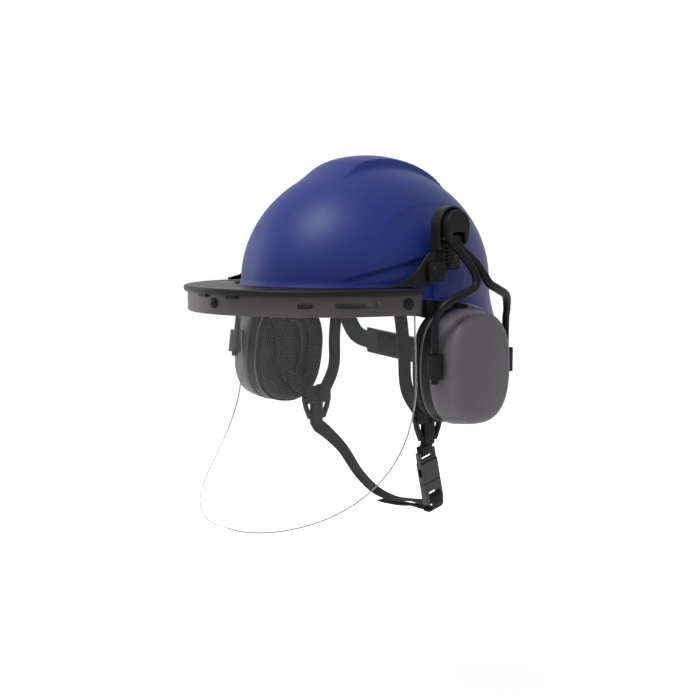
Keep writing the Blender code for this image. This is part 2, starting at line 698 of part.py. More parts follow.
def build_muff(side, name):
    swing = math.radians(RIGHT_MUFF_SWING) if side < 0 else 0.0
    hub_axis = Vector((0, HUB_Y, HUB_Z))
    # Forward is -Y, so a forward swing turns the cup's side of the hub towards -Y.
    turn = Matrix.Translation(hub_axis) @ Matrix.Rotation(-swing, 4, "X") @ Matrix.Translation(-hub_axis)

    def placed(shape):
        shape = mirrored(shape, side)
        shape.transform(turn)
        return shape

    def spot(x, y, z):
        return turn @ Vector((side * x, y, z))

    swing_joint = add_joint(f"muff_swing_{name}_joint", (side * hub_x()[0], HUB_Y, HUB_Z))
    flip_joint = add_joint(f"muff_flip_{name}_joint", spot(YOKE_HINGE_X, HUB_Y, YOKE_HINGE_Z), swing_joint)
    slide_joint = add_joint(f"cup_height_{name}_joint", spot(TILT_X, CUP_Y, TILT_Z), flip_joint)
    tilt_joint = add_joint(f"cup_tilt_{name}_joint", spot(TILT_X, CUP_Y, TILT_Z), slide_joint)

    # Hub: turns on the adapter's spindle and carries the yoke's hinge in a notch
    hinge = (YOKE_HINGE_X, YOKE_HINGE_Z)
    head_radius = 4.6
    head_half = 7.4
    inner, outer = hub_x()
    side_y = HUB_RADIUS - 2.0
    outline = [
        *arc((HUB_Y, HUB_Z), HUB_RADIUS, 0, 180, 16),
        (HUB_Y - side_y, 52.5),
        (HUB_Y - side_y + 2, 49.5),
        (HUB_Y + side_y - 2, 49.5),
        (HUB_Y + side_y, 52.5),
    ]
    hub = prism(outline, inner, outer)
    bore = disc((HUB_Y, HUB_Z), SPINDLE_RADIUS + GAP, inner - 5, inner + 9.0 + GAP)
    notch_low = (hinge[0] - head_radius - GAP, HUB_Y - head_half - GAP, 40)
    notch_high = (outer + 5, HUB_Y + head_half + GAP, hinge[1] + head_radius + GAP)
    notch = box(notch_low, notch_high)
    pin_hole = disc(hinge, 1.6 + GAP, HUB_Y - 20, HUB_Y + 20, "Y", 16)
    # The drum's shaft bore stays clear of the notch below it.
    cuts = [placed(shape) for shape in (bore, notch, pin_hole)]
    add_node(f"hub_{name}", "black_plastic", placed(hub), swing_joint, cuts=cuts)
    pin = disc(hinge, 1.6, HUB_Y - side_y + 0.4, HUB_Y + side_y - 0.4, "Y", 16)
    add_node(f"yoke_pin_{name}", "steel", placed(pin), swing_joint)

    # Yoke: a barrel on the pin, and two legs
    barrel = disc(hinge, head_radius, HUB_Y - head_half, HUB_Y + head_half, "Y", 24)
    legs = [rod(route, LEG_RADIUS) for route in leg_routes()]
    barrel_hole = disc(hinge, 1.6 + GAP, HUB_Y - 20, HUB_Y + 20, "Y", 16)
    add_node(
        f"yoke_{name}",
        "black_plastic",
        placed(barrel),
        flip_joint,
        joins=[placed(leg) for leg in legs],
        cuts=[placed(barrel_hole)],
    )

    # Lugs: each slides on a leg's end, and its pin carries the cup
    for end, where in ((-1, "front"), (1, "rear")):
        leg_y = CUP_Y + end * LEG_SPREAD
        ends_z = (TILT_Z - LUG_HEIGHT / 2, TILT_Z + LUG_HEIGHT / 2)
        body = prism(rounded((TILT_X, leg_y), 6.0, 5.0, 2.0), *ends_z, "Z")
        bore = disc((TILT_X, leg_y), LEG_RADIUS + GAP, TILT_Z - 30, TILT_Z + 30, "Z", 20)
        ends = sorted((leg_y - end * 4.3, CUP_Y + end * (CUP_HALF_WIDTH - 4.5)))
        stub = disc((TILT_X, TILT_Z), TILT_PIN_RADIUS, *ends, "Y", 16)
        lug = (f"lug_{where}_{name}", "black_plastic", placed(body), slide_joint)
        add_node(*lug, joins=[placed(stub)], cuts=[placed(bore)])

    # Cup and what it holds
    holes = disc((TILT_X, TILT_Z), TILT_PIN_RADIUS + GAP, CUP_Y - 60, CUP_Y + 60, "Y", 16)
    add_node(f"cup_{name}", "cup_grey", placed(cup_shape()), tilt_joint, cuts=[placed(holes)])
    seat_high = CUP_INNER_X - GAP
    seat_low = seat_high - SEAT_THICK
    outside = (CUP_HALF_WIDTH + SEAT_BORDER, CUP_HALF_HEIGHT + SEAT_BORDER)
    hole = (CUSHION_HOLE_HALF_WIDTH + 6, CUSHION_HOLE_HALF_HEIGHT + 6)
    seat = placed(ring_plate(seat_low, seat_high, outside, hole))
    add_node(f"cup_seat_{name}", "cup_grey", seat, tilt_joint)
    soft_high = seat_low - GAP
    soft_low = soft_high - CUSHION_THICK
    outside = (CUP_HALF_WIDTH - 1, CUP_HALF_HEIGHT - 1)
    hole = (CUSHION_HOLE_HALF_WIDTH, CUSHION_HOLE_HALF_HEIGHT)
    cushion = placed(ring_plate(soft_low, soft_high, outside, hole))
    add_node(f"cushion_{name}", "cushion_black", cushion, tilt_joint)
    foam_ends = (seat_high + 2, CUP_INNER_X + CUP_DEPTH * 0.6)
    half_sizes = (CUP_HALF_WIDTH - FOAM_INSET, CUP_HALF_HEIGHT - FOAM_INSET)
    liner = [egg(x, *half_sizes, count=20) for x in foam_ends]
    add_node(f"foam_{name}", "foam_grey", placed(loft(liner)), tilt_joint)


# Suspension


def headband_height(y):
    """The headband's middle height: high on the brow and lower at the sides."""
    share = max(0.0, min(1.0, (SLEEVE_START_Y - y) / (SLEEVE_START_Y + HEADBAND_HALF_LENGTH)))
    return SIDE_Z + (HEADBAND_FRONT_Z - SIDE_Z) * share**0.8


def headband_point(turned, inset):
    """A point on the headband's arc in plan, at an angle from the front."""
    angle = math.radians(turned)
    x = (HEADBAND_HALF_WIDTH - inset) * math.sin(angle)
    y = -(HEADBAND_HALF_LENGTH - inset) * math.cos(angle)
    return x, y


def sleeve_x():
    """The nape arm's inner and outer X, just outside the headband's tail."""
    inner = HEADBAND_HALF_WIDTH + HEADBAND_THICK / 2 + GAP
    return inner, inner + NAPE_ARM_THICK


def build_headband():
    half = HEADBAND_HEIGHT / 2
    thick = HEADBAND_THICK / 2
    rings = []
    stations = [("tail", SLEEVE_END_Y, -1)]
    stations += [("arc", turned, 0) for turned in range(-90, 91, 6)]
    stations += [("tail", SLEEVE_END_Y, 1)]
    for kind, value, side in stations:
        ring = []
        for inset, up in ((-thick, -half), (-thick, half), (thick, half), (thick, -half)):
            if kind == "tail":
                x, y = side * (HEADBAND_HALF_WIDTH - inset), value
            else:
                x, y = headband_point(value, inset)
            ring.append(Vector((x, y, headband_height(min(y, 0.0)) + up)))
        rings.append(ring)
    level = headband_height(0)
    loops = []
    channels = []
    for side in (1, -1):
        inner, outer = sleeve_x()
        tall = NAPE_ARM_HEIGHT / 2
        low = (HEADBAND_HALF_WIDTH - 0.4, SLEEVE_START_Y + 4, level - tall - 2.5)
        high = (outer + GAP + 1.4, SLEEVE_START_Y + 13, level + tall + 2.5)
        loops.append(mirrored(box(low, high), side))
        low = (inner - GAP, SLEEVE_START_Y - 10, level - tall - GAP)
        high = (outer + GAP, SLEEVE_START_Y + 30, level + tall + GAP)
        channels.append(mirrored(box(low, high), side))
    add_node("headband", "band_grey", loft(rings), joins=loops, cuts=channels)
    rings = []
    for turned in range(-56, 57, 7):
        ring = []
        near, far = thick + GAP, thick + 4.5
        for inset, up in ((near, -half - 2), (near, half + 2), (far, half + 2), (far, -half - 2)):
            x, y = headband_point(turned, inset)
            ring.append(Vector((x, y, headband_height(y) + up)))
        rings.append(ring)
    add_node("brow_pad", "cushion_black", loft(rings))


def nape_point(turned, out, z_offset):
    """A point on the nape unit at an angle from the back, out from the headband's oval."""
    angle = math.radians(turned)
    x = (HEADBAND_HALF_WIDTH + out) * math.sin(angle)
    y = (HEADBAND_HALF_LENGTH + out) * math.cos(angle)
    rise = (NAPE_Z + 52) * -(abs(turned) / 50) ** 1.6
    return Vector((x, y, NAPE_Z + rise + z_offset))


def arc_body(corners, span, steps=16):
    """A body along the nape's arc, from its cross-section's corners of (out, height)."""
    turns = [-span + 2 * span * i / steps for i in range(steps + 1)]
    return loft([[nape_point(turned, out, z) for out, z in corners] for turned in turns])


def outward(at):
    """The way out from the headband's oval at a point."""
    return Vector((at.x / HEADBAND_HALF_WIDTH**2, at.y / HEADBAND_HALF_LENGTH**2, 0))


def sideways(_at):
    return Vector((1, 0, 0))


def downward(_at):
    return Vector((0, 0, -1))


def build_nape():
    joint = add_joint("nape_joint", (0, HEADBAND_HALF_LENGTH, NAPE_Z))
    half = NAPE_HEIGHT / 2
    wall = 1.8
    back = NAPE_DEPTH
    tray = (
        (0, -half),
        (0, half),
        (back, half),
        (back, half - wall),
        (wall, half - wall),
        (wall, wall - half),
        (back, wall - half),
        (back, -half),
    )
    add_node("nape_housing", "band_grey", arc_body(tray, NAPE_SPAN), joint)
    low, high = back + GAP, back + GAP + wall
    cover = arc_body(((low, -half), (low, half), (high, half), (high, -half)), NAPE_SPAN)
    face_y = HEADBAND_HALF_LENGTH + high
    shaft = disc((0, NAPE_Z), SHAFT_RADIUS + GAP, face_y - 9, face_y + 9, "Y", 20)
    add_node("nape_cover", "band_grey", cover, joint, cuts=[shaft])
    pad = arc_body(
        ((-NAPE_PAD_THICK, 3 - half), (-NAPE_PAD_THICK, half - 3), (-GAP, half - 1), (-GAP, 1 - half)),
        NAPE_SPAN - 6,
        12,
    )
    add_node("nape_pad", "cushion_black", pad, joint)
    build_nape_arms(joint, wall + GAP + NAPE_ARM_THICK / 2 + 0.4)
    build_ratchet(joint, wall, face_y)


def build_nape_arms(joint, channel):
    """Each arm runs straight through the headband's loop, then down and round into the housing."""
    middle_x = sum(sleeve_x()) / 2
    level = headband_height(0)
    straight_y = SLEEVE_END_Y + NAPE_TIGHTEN
    for side, name in ((1, "left"), (-1, "right")):
        points = [
            (middle_x, SLEEVE_START_Y - 8, level),
            (middle_x, SLEEVE_START_Y + 8, level),
            (middle_x, straight_y - 5, level),
            (middle_x, straight_y + 1, level),
            (middle_x - 0.5, straight_y + 8, level - 6),
            (middle_x - 3.5, straight_y + 15, level - 24),
            (middle_x - 9.5, straight_y + 21, level - 39),
        ]
        points += [nape_point(turned, channel, 0) for turned in (50, 41, 32, 23, 14)]
        arm = strap(points, NAPE_ARM_HEIGHT, NAPE_ARM_THICK, outward)
        add_node(f"nape_arm_{name}", "band_grey", mirrored(arm, side), joint)


def build_ratchet(parent, wall, face_y):
    joint = add_joint("ratchet_joint", (0, HEADBAND_HALF_LENGTH, NAPE_Z), parent)
    turn = [2 * math.pi * i / 48 for i in range(48)]
    grip = [KNOB_RADIUS - (1.3 if i % 4 == 0 else 0.0) for i in range(48)]
    outline = [(r * math.cos(a), NAPE_Z + r * math.sin(a)) for r, a in zip(grip, turn)]
    knob = prism(outline, face_y + GAP, face_y + GAP + KNOB_DEPTH, "Y")
    shaft_end = face_y - 3.6
    shaft = disc((0, NAPE_Z), SHAFT_RADIUS, shaft_end, face_y + 3, "Y", 20)
    add_node("ratchet_knob", "black_plastic", knob, joint, joins=[shaft])
    turn = [math.pi * i / PINION_TEETH for i in range(2 * PINION_TEETH)]
    rims = [PINION_RADIUS - (0.0 if i % 2 else 1.6) for i in range(2 * PINION_TEETH)]
    outline = [(r * math.cos(a), NAPE_Z + r * math.sin(a)) for r, a in zip(rims, turn)]
    pinion = prism(outline, HEADBAND_HALF_LENGTH + wall + GAP, shaft_end - GAP, "Y")
    add_node("ratchet_pinion", "black_plastic", pinion, joint)


def key_place(end):
    """Where a suspension key sits in plan, on the left. End is -1 in front and 1 behind."""
    angle = math.radians(KEY_ANGLE)
    return Vector((KEY_REACH * math.sin(angle), end * KEY_REACH * math.cos(angle), 0))


def build_cradle():
    for end, where in ((-1, "front"), (1, "rear")):
        low, high = KEY_HEIGHTS[where]
        at = key_place(end)
        for side, name in ((1, "left"), (-1, "right")):
            outline = rounded((at.x, at.y), KEY_HALF_DEPTH, KEY_WIDTH / 2, 2.0)
            key = prism(outline, low, high, "Z")
            add_node(f"suspension_key_{where}_{name}", "band_grey", mirrored(key, side))
    start = key_place(-1)
    for count, name in enumerate(("a", "b")):
        side = 1 - 2 * count
        rise = CROWN_STRAP_TOP + count * 2 * WEBBING_THICK
        points = []
        for i in range(9):
            angle = math.pi * i / 8
            low = KEY_HEIGHTS["front" if i < 4 else "rear"][1] + 3 * GAP
            height = low + (rise - low) * math.sin(angle)
            reach = math.cos(angle)
            points.append((side * start.x * reach, start.y * reach, height))
        add_node(f"crown_strap_{name}", "webbing_black", cradle_strap(points))


def cradle_strap(points):
    """A webbing strap over the crown, flat side up at the top and outward at its ends."""
    path = smooth_path(points, 3)
    rings = []
    plan = (Vector(points[-1]) - Vector(points[0])).normalized()
    side = plan.cross(Vector((0, 0, 1))).normalized() * CRADLE_WIDTH / 2
    for at, along in zip(path, tangents(path, points)):
        out = along.cross(side).normalized() * WEBBING_THICK / 2
        rings.append([at - side - out, at + side - out, at + side + out, at - side + out])
    return loft(rings)


# Chin strap


def build_chin_straps():
    for side, name in ((1, "left"), (-1, "right")):
        slider = SLIDERS[name]
        plane = slider.x
        top = slider.z + SLIDER_HALF_HEIGHT + GAP
        for end, where in ((-1, "front"), (1, "rear")):
            key = key_place(end)
            key_low = KEY_HEIGHTS[where][0] - GAP
            leg_y = slider.y + end * 9.8
            route = [
                (key.x, key.y, key_low),
                (key.x, key.y, key_low - 3),
                (STRAP_X, key.y * 0.92, key_low - 16),
                (STRAP_X - 0.2, key.y * 0.82, -45.0),
                (STRAP_X - 0.9, (key.y * 0.62 + leg_y * 0.38), -78.0),
                (plane, leg_y, top + 5),
                (plane, leg_y, top),
            ]
            shape = strap(route, CHIN_WIDTH, WEBBING_THICK, sideways)
            add_node(f"chin_strap_{where}_{name}", "webbing_black", mirrored(shape, side))
        frame = prism(slider_outline(slider, 0.0), plane - 2.2, plane + 2.2)
        opening = prism(slider_outline(slider, 4.0), plane - 6, plane + 6)
        cuts = [mirrored(opening, side)]
        add_node(f"strap_slider_{name}", "black_plastic", mirrored(frame, side), cuts=cuts)


def slider_outline(middle, inset):
    """The three-way slider's outline: wide at the top for two straps, narrow below for one."""
    high = SLIDER_HALF_HEIGHT - inset
    wide = 18.0 - 1.1 * inset
    narrow = 10.5 - 0.8 * inset
    points = ((-wide, high), (wide, high), (wide - 2, 1), (narrow, -high), (-narrow, -high), (2 - wide, 1))
    return [(middle.y + a, middle.z + b) for a, b in points]


def build_buckle():
    """The socket hangs from the slider, and the plug pulls out of it downward."""
    turn = Matrix.Translation(BUCKLE_MIDDLE) @ Matrix.Rotation(math.radians(BUCKLE_TILT), 4, "X")

    def placed(shape):
        shape.transform(turn)
        return shape

    half_x = BUCKLE_THICK / 2
    half_y = BUCKLE_WIDTH / 2
    end = BUCKLE_HALF_LENGTH
    mouth = -4.0
    roof = 12.5
    body = prism(rounded((0, 0), half_x, half_y, 2.0), mouth, roof + 2.5, "Z")
    bar = box((-2.2, -half_y, roof + 0.5), (2.2, half_y, end))
    bar_hole = box((-6, 3.5 - half_y, roof + 5), (6, half_y - 3.5, end - 2.8))
    cavity = box((-2.6, 2.2 - half_y, mouth - 5), (2.6, half_y - 2.2, roof))
    window = box((-2.0, -half_y - 5, 2.5), (2.0, half_y + 5, roof - 2.5))
    cuts = [placed(cavity), placed(window), placed(bar_hole)]
    add_node("buckle_socket", "buckle_grey", placed(body), joins=[placed(bar)], cuts=cuts)

    joint = add_joint("buckle_joint", BUCKLE_MIDDLE)
    top = mouth - GAP
    frame = prism(rounded((0, 0), half_x, half_y, 2.0), -end, top, "Z")
    outer = half_y - 2.2 - 2 * GAP
    spans = ((-outer, 3 - outer), (-1.5, 1.5), (outer - 3, outer))
    prongs = [placed(box((-2.0, a, top - 2), (2.0, b, roof - 1.5))) for a, b in spans]
    frame_hole = box((-8, 3.4 - half_y, 3.0 - end), (8, half_y - 3.4, top - 9))
    cuts = [placed(frame_hole)]
    add_node("buckle_plug", "buckle_grey", placed(frame), joint, joins=prongs, cuts=cuts)

    slider = SLIDERS["left"]
    slider_low = Vector((slider.x, slider.y, slider.z - SLIDER_HALF_HEIGHT - GAP))
    route = [
        slider_low,
        slider_low - Vector((0, 0, 0.5)),
        turn @ Vector((0, 0, end + GAP + 0.5)),
        turn @ Vector((0, 0, end + GAP)),
    ]
    tab = strap(route, CHIN_WIDTH, WEBBING_THICK, sideways, steps=1)
    add_node("buckle_tab_strap", "webbing_black", tab)
    build_chin_webbing(turn @ Vector((0, 0, -end)))


def build_chin_webbing(plug_end):
    """The strap under the chin, and its loose tail, which doubles back below it."""
    slider = SLIDERS["right"]
    start_z = slider.z - SLIDER_HALF_HEIGHT - GAP
    chin = [
        (-slider.x, slider.y, start_z - 0.4),
        (-slider.x, slider.y, start_z - 5.5),
        (-76.0, 17.5, -144.0),
        (-63.0, 27.0, -160.0),
        (-46.0, 32.0, -182.0),
        (-25.0, 34.0, -196.0),
        (0.0, 32.0, -200.5),
        (28.0, 26.0, -197.5),
        (52.0, 17.0, -192.5),
        (plug_end.x - 9, plug_end.y + 3, plug_end.z - 4.5),
    ]
    webbing = strap(chin, CHIN_WIDTH, WEBBING_THICK, chin_facing)
    add_node("chin_webbing", "webbing_black", webbing)
    tail = [Vector(at) + Vector((0, 0.5, -4.5)) for at in chin[5:]]
    tail[0] = Vector((-11.0, 32.5, -204.5))
    add_node("chin_webbing_tail", "webbing_black", strap(tail, CHIN_WIDTH, WEBBING_THICK, downward))


def chin_facing(at):
    """Out of the strap's flat side: to the right beside the jaw, and down below it."""
    share = max(0.0, min(1.0, (at.z + 200) / 70)) if at.x < 0 else 0.0
    return Vector((-share, 0, share - 1))


clear_scene()
build_shell()
build_adapter(1, "left")
build_adapter(-1, "right")
build_visor()
build_muff(1, "left")
build_muff(-1, "right")
build_headband()
build_nape()
build_cradle()
build_chin_straps()
build_buckle()
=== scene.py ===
import math

import bmesh
import bpy
from mathutils import Matrix, Vector


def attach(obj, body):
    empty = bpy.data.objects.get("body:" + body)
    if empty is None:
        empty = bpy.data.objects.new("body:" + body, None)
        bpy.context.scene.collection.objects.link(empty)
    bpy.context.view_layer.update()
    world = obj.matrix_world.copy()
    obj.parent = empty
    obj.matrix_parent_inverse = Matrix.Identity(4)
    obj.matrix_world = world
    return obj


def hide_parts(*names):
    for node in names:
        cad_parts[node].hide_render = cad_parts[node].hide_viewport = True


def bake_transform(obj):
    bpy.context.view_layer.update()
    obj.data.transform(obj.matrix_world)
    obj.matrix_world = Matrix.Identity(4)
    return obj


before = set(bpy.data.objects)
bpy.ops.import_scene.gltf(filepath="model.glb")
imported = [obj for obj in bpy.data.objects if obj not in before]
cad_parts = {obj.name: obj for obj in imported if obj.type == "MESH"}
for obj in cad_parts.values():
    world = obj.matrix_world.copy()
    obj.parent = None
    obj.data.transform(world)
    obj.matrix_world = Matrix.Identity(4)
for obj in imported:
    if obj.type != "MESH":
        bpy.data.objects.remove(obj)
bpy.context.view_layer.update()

mm = 0.001
sides = {"left": 1, "right": -1}


# numbers and curves

def between(low, high, value):
    # 0 up to the low value, 1 from the high one, and smooth between
    share = max(0.0, min(1.0, (value - low) / (high - low)))
    return share * share * (3 - 2 * share)


def readStops(stops, at):
    # the value at a place, from pairs of place and value
    if at <= stops[0][0]:
        return stops[0][1]
    for (a, low), (b, high) in zip(stops, stops[1:]):
        if at <= b:
            return low + (high - low) * (at - a) / (b - a)
    return stops[-1][1]


def softStops(stops, at, spread):
    # the same, averaged over a spread on both sides, so that it has no corners
    offsets = [spread * i / 6 for i in range(-6, 7)]
    return sum(readStops(stops, abs(at + offset)) for offset in offsets) / len(offsets)


def smoothPath(points, steps):
    # a Catmull-Rom curve through the points
    points = [Vector(point) for point in points]
    padded = [2 * points[0] - points[1], *points, 2 * points[-1] - points[-2]]
    found = []
    for a, b, c, d in zip(padded, padded[1:], padded[2:], padded[3:]):
        for i in range(steps):
            t = i / steps
            bend = (2 * a - 5 * b + 4 * c - d) * t * t + (3 * b - a - 3 * c + d) * t**3
            found.append(0.5 * (2 * b + (c - a) * t + bend))
    return [*found, points[-1]]


def directions(path):
    # the way ahead at each point of a path
    ahead = [after - before for before, after in zip(path, path[1:])]
    inner = [after - before for before, after in zip(path, path[2:])]
    return [step.normalized() for step in (ahead[0], *inner, ahead[-1])]


def roundedSection(halfWidth, halfThick, radius, steps=3):
    # corner by corner round a rectangle, as pairs of across and out
    found = []
    for cornerX, cornerY, start in ((1, 1, 0), (-1, 1, 90), (-1, -1, 180), (1, -1, 270)):
        for i in range(steps + 1):
            angle = math.radians(start + 90 * i / steps)
            x = cornerX * (halfWidth - radius) + radius * math.cos(angle)
            y = cornerY * (halfThick - radius) + radius * math.sin(angle)
            found.append((x, y))
    return found


def roundAbout(centre, first, second, count):
    # points of an oval round the centre, whose half axes are the two vectors
    angles = [2 * math.pi * i / count for i in range(count)]
    return [centre + first * math.cos(angle) + second * math.sin(angle) for angle in angles]


# building and finishing meshes

def sweep(rings, closed=True, capped=True, tags=None, bm=None):
    # the first ring is extruded from ring to ring; tags give each point its along and across
    bm = bm or bmesh.new()
    along = bm.verts.layers.float.get("along") or bm.verts.layers.float.new("along")
    across = bm.verts.layers.float.get("across") or bm.verts.layers.float.new("across")
    verts = [bm.verts.new(point) for point in rings[0]]
    count = len(verts)
    pairs = [(i, (i + 1) % count) for i in range(count if closed else count - 1)]
    edges = [bm.edges.new((verts[a], verts[b])) for a, b in pairs]
    if closed and capped:
        bm.faces.new(verts)
    for index, ring in enumerate(rings):
        if index:
            made = bmesh.ops.extrude_edge_only(bm, edges=edges)["geom"]
            fresh = {item for item in made if isinstance(item, bmesh.types.BMVert)}
            nexts = [[edge.other_vert(vert) for edge in vert.link_edges] for vert in verts]
            verts = [next(vert for vert in around if vert in fresh) for around in nexts]
            edges = [bm.edges.get((verts[a], verts[b])) for a, b in pairs]
        for spot, (vert, point) in enumerate(zip(verts, ring)):
            vert.co = point
            if tags:
                vert[along], vert[across] = tags(index, spot)
    if closed and capped:
        bm.faces.new(verts)
    return bm


def lathe(profile, place, steps=48):
    # pairs of radius and height, turned about Z and then placed
    bm = bmesh.new()
    verts = [bm.verts.new((radius * mm, 0, height * mm)) for radius, height in profile]
    edges = [bm.edges.new(pair) for pair in zip(verts, verts[1:])]
    bmesh.ops.spin(bm, geom=verts + edges, cent=(0, 0, 0), axis=(0, 0, 1), angle=2 * math.pi,
                   steps=steps, use_merge=True)
    bmesh.ops.remove_doubles(bm, verts=bm.verts[:], dist=1e-6)
    bmesh.ops.recalc_face_normals(bm, faces=bm.faces[:])
    bmesh.ops.transform(bm, matrix=place, verts=bm.verts[:])
    return bm


def meshObject(name, bm):
    mesh = bpy.data.meshes.new(name)
    bm.to_mesh(mesh)
    bm.free()
    made = bpy.data.objects.new(name, mesh)
    bpy.context.scene.collection.objects.link(made)
    return made


def applied(made):
    # replaces the object's mesh by what its modifiers make of it
    graph = bpy.context.evaluated_depsgraph_get()
    mesh = bpy.data.meshes.new_from_object(made.evaluated_get(graph))
    made.modifiers.clear()
    made.data = mesh
    return made


def thickened(made, thickness, offset):
    wall = made.modifiers.new("wall", "SOLIDIFY")
    wall.thickness = thickness * mm
    wall.offset = offset


def cutAway(made, cutterShapes):
    for bm in cutterShapes:
        bmesh.ops.recalc_face_normals(bm, faces=bm.faces[:])
        cutter = meshObject("cutter", bm)
        cut = made.modifiers.new("cut", "BOOLEAN")
        cut.operation = "DIFFERENCE"
        cut.object = cutter
        applied(made)
        bpy.data.objects.remove(cutter)
    return made


def finish(made, slot, body=None, replaced=(), sharp=40, place=None):
    bm = bmesh.new()
    bm.from_mesh(made.data)
    if place is not None:
        bmesh.ops.transform(bm, matrix=place, verts=bm.verts[:])
        if place.determinant() < 0:
            bmesh.ops.reverse_faces(bm, faces=bm.faces[:])
    bm.to_mesh(made.data)
    bm.free()
    made.data.materials.clear()
    made.data.materials.append(finishes[slot])
    made.data.shade_smooth()
    made.data.set_sharp_from_angle(angle=math.radians(sharp))
    if body:
        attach(made, body)
    if replaced:
        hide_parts(*replaced)
    return made


def closedPiece(name, bm, slot, body, replaced=(), sharp=40, place=None):
    bmesh.ops.remove_doubles(bm, verts=bm.verts[:], dist=1e-6)
    bmesh.ops.recalc_face_normals(bm, faces=bm.faces[:])
    return finish(meshObject(name, bm), slot, body, replaced, sharp, place)


def copyOf(node):
    bm = bmesh.new()
    bm.from_mesh(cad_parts[node].data)
    bmesh.ops.remove_doubles(bm, verts=bm.verts[:], dist=2e-6)
    return bm


def remeshed(made, voxel, passes):
    # an even mesh of small faces, smoothed a number of times
    remesh = made.modifiers.new("remesh", "REMESH")
    remesh.mode = "VOXEL"
    remesh.voxel_size = voxel * mm
    applied(made)
    bm = bmesh.new()
    bm.from_mesh(made.data)
    for _ in range(passes):
        bmesh.ops.smooth_vert(bm, verts=bm.verts[:], factor=0.5,
                              use_axis_x=True, use_axis_y=True, use_axis_z=True)
    bm.to_mesh(made.data)
    bm.free()


def moulded(name, node, slot, body, voxel=0.45, passes=4):
    # a moulded part with soft corners, from a fine remesh of its CAD solid
    made = meshObject(name, copyOf(node))
    remeshed(made, voxel, passes)
    return finish(made, slot, body, (node,), 70)


def softened(name, node, slot, body, width=0.4, angle=38):
    # a thin part keeps its flat faces and gets rounded edges
    bm = copyOf(node)
    bmesh.ops.dissolve_limit(bm, angle_limit=math.radians(1), verts=bm.verts[:], edges=bm.edges[:])
    made = meshObject(name, bm)
    bevel = made.modifiers.new("edges", "BEVEL")
    bevel.width = width * mm
    bevel.segments = 2
    bevel.limit_method = "ANGLE"
    bevel.angle_limit = math.radians(angle)
    return finish(made, slot, body, (node,), 50)


# finishes

class Signal:
    def __init__(self, maker, socket):
        self.maker = maker
        self.socket = socket

    def combine(self, operation, other, flipped=False):
        first, second = (other, self) if flipped else (self, other)
        return self.maker.node("ShaderNodeMath", {"operation": operation}, {0: first, 1: second})

    def __add__(self, other):
        return self.combine("ADD", other)

    def __mul__(self, other):
        return self.combine("MULTIPLY", other)

    def __rsub__(self, other):
        return self.combine("SUBTRACT", other, True)

    __radd__ = __add__
    __rmul__ = __mul__


class Finish:
    def __init__(self, name):
        self.material = bpy.data.materials.new(name)
        self.material.use_nodes = True
        self.tree = self.material.node_tree
        self.tree.nodes.clear()

    def node(self, kind, settings=None, inputs=None, output=0):
        made = self.tree.nodes.new(kind)
        for key, value in (settings or {}).items():
            setattr(made, key, value)
        for key, value in (inputs or {}).items():
            if isinstance(value, Signal):
                self.tree.links.new(value.socket, made.inputs[key])
            else:
                made.inputs[key].default_value = value
        return Signal(self, made.outputs[output]) if made.outputs else None

    def place(self, scale=(1, 1, 1)):
        spot = self.node("ShaderNodeTexCoord", output="Object")
        return self.node("ShaderNodeMapping", None, {"Vector": spot, "Scale": scale})

    def grain(self, size, detail=2.0, rough=0.5, stretch=(1, 1, 1)):
        # noise whose features are about this many millimetres
        inputs = {"Vector": self.place(stretch), "Scale": 1 / (size * mm)}
        inputs.update({"Detail": detail, "Roughness": rough})
        return self.node("ShaderNodeTexNoise", None, inputs)

    def pits(self, size):
        inputs = {"Vector": self.place(), "Scale": 1 / (size * mm)}
        return self.node("ShaderNodeTexVoronoi", {"feature": "F1"}, inputs)

    def attribute(self, name):
        return self.node("ShaderNodeAttribute", {"attribute_name": name}, output="Fac")

    def wave(self, signal, pitch):
        # a sine of the given pitch in millimetres
        turns = signal * (2 * math.pi / (pitch * mm))
        return self.node("ShaderNodeMath", {"operation": "SINE"}, {0: turns})

    def ramp(self, value, low, high):
        # 0 below the low value, 1 above the high one, and smooth between
        inputs = {"Value": value, "From Min": low, "From Max": high, "To Min": 0.0, "To Max": 1.0}
        settings = {"clamp": True, "interpolation_type": "SMOOTHSTEP"}
        return self.node("ShaderNodeMapRange", settings, inputs)

    def tint(self, share, first, second):
        colors = [color if isinstance(color, Signal) else (*color, 1) for color in (first, second)]
        inputs = {0: share, 6: colors[0], 7: colors[1]}
        return self.node("ShaderNodeMix", {"data_type": "RGBA"}, inputs, 2)

    def bump(self, height, depth, strength=1.0):
        inputs = {"Height": height, "Distance": depth * mm, "Strength": strength}
        return self.node("ShaderNodeBump", None, inputs)

    def edges(self, radius):
        # 0 on flat faces, rising on convex edges, where the painted highlight goes
        inputs = {"Radius": radius * mm}
        rounded = self.node("ShaderNodeBevel", {"samples": 4}, inputs)
        plain = self.node("ShaderNodeNewGeometry", output="Normal")
        product = {"operation": "DOT_PRODUCT"}
        match = self.node("ShaderNodeVectorMath", product, {0: rounded, 1: plain}, "Value")
        return self.ramp(1 - match, 0.02, 0.25)

    def surface(self, **sockets):
        named = {key.replace("_", " "): value for key, value in sockets.items()}
        shader = self.node("ShaderNodeBsdfPrincipled", None, named)
        self.node("ShaderNodeOutputMaterial", None, {"Surface": shader})
        return self.material


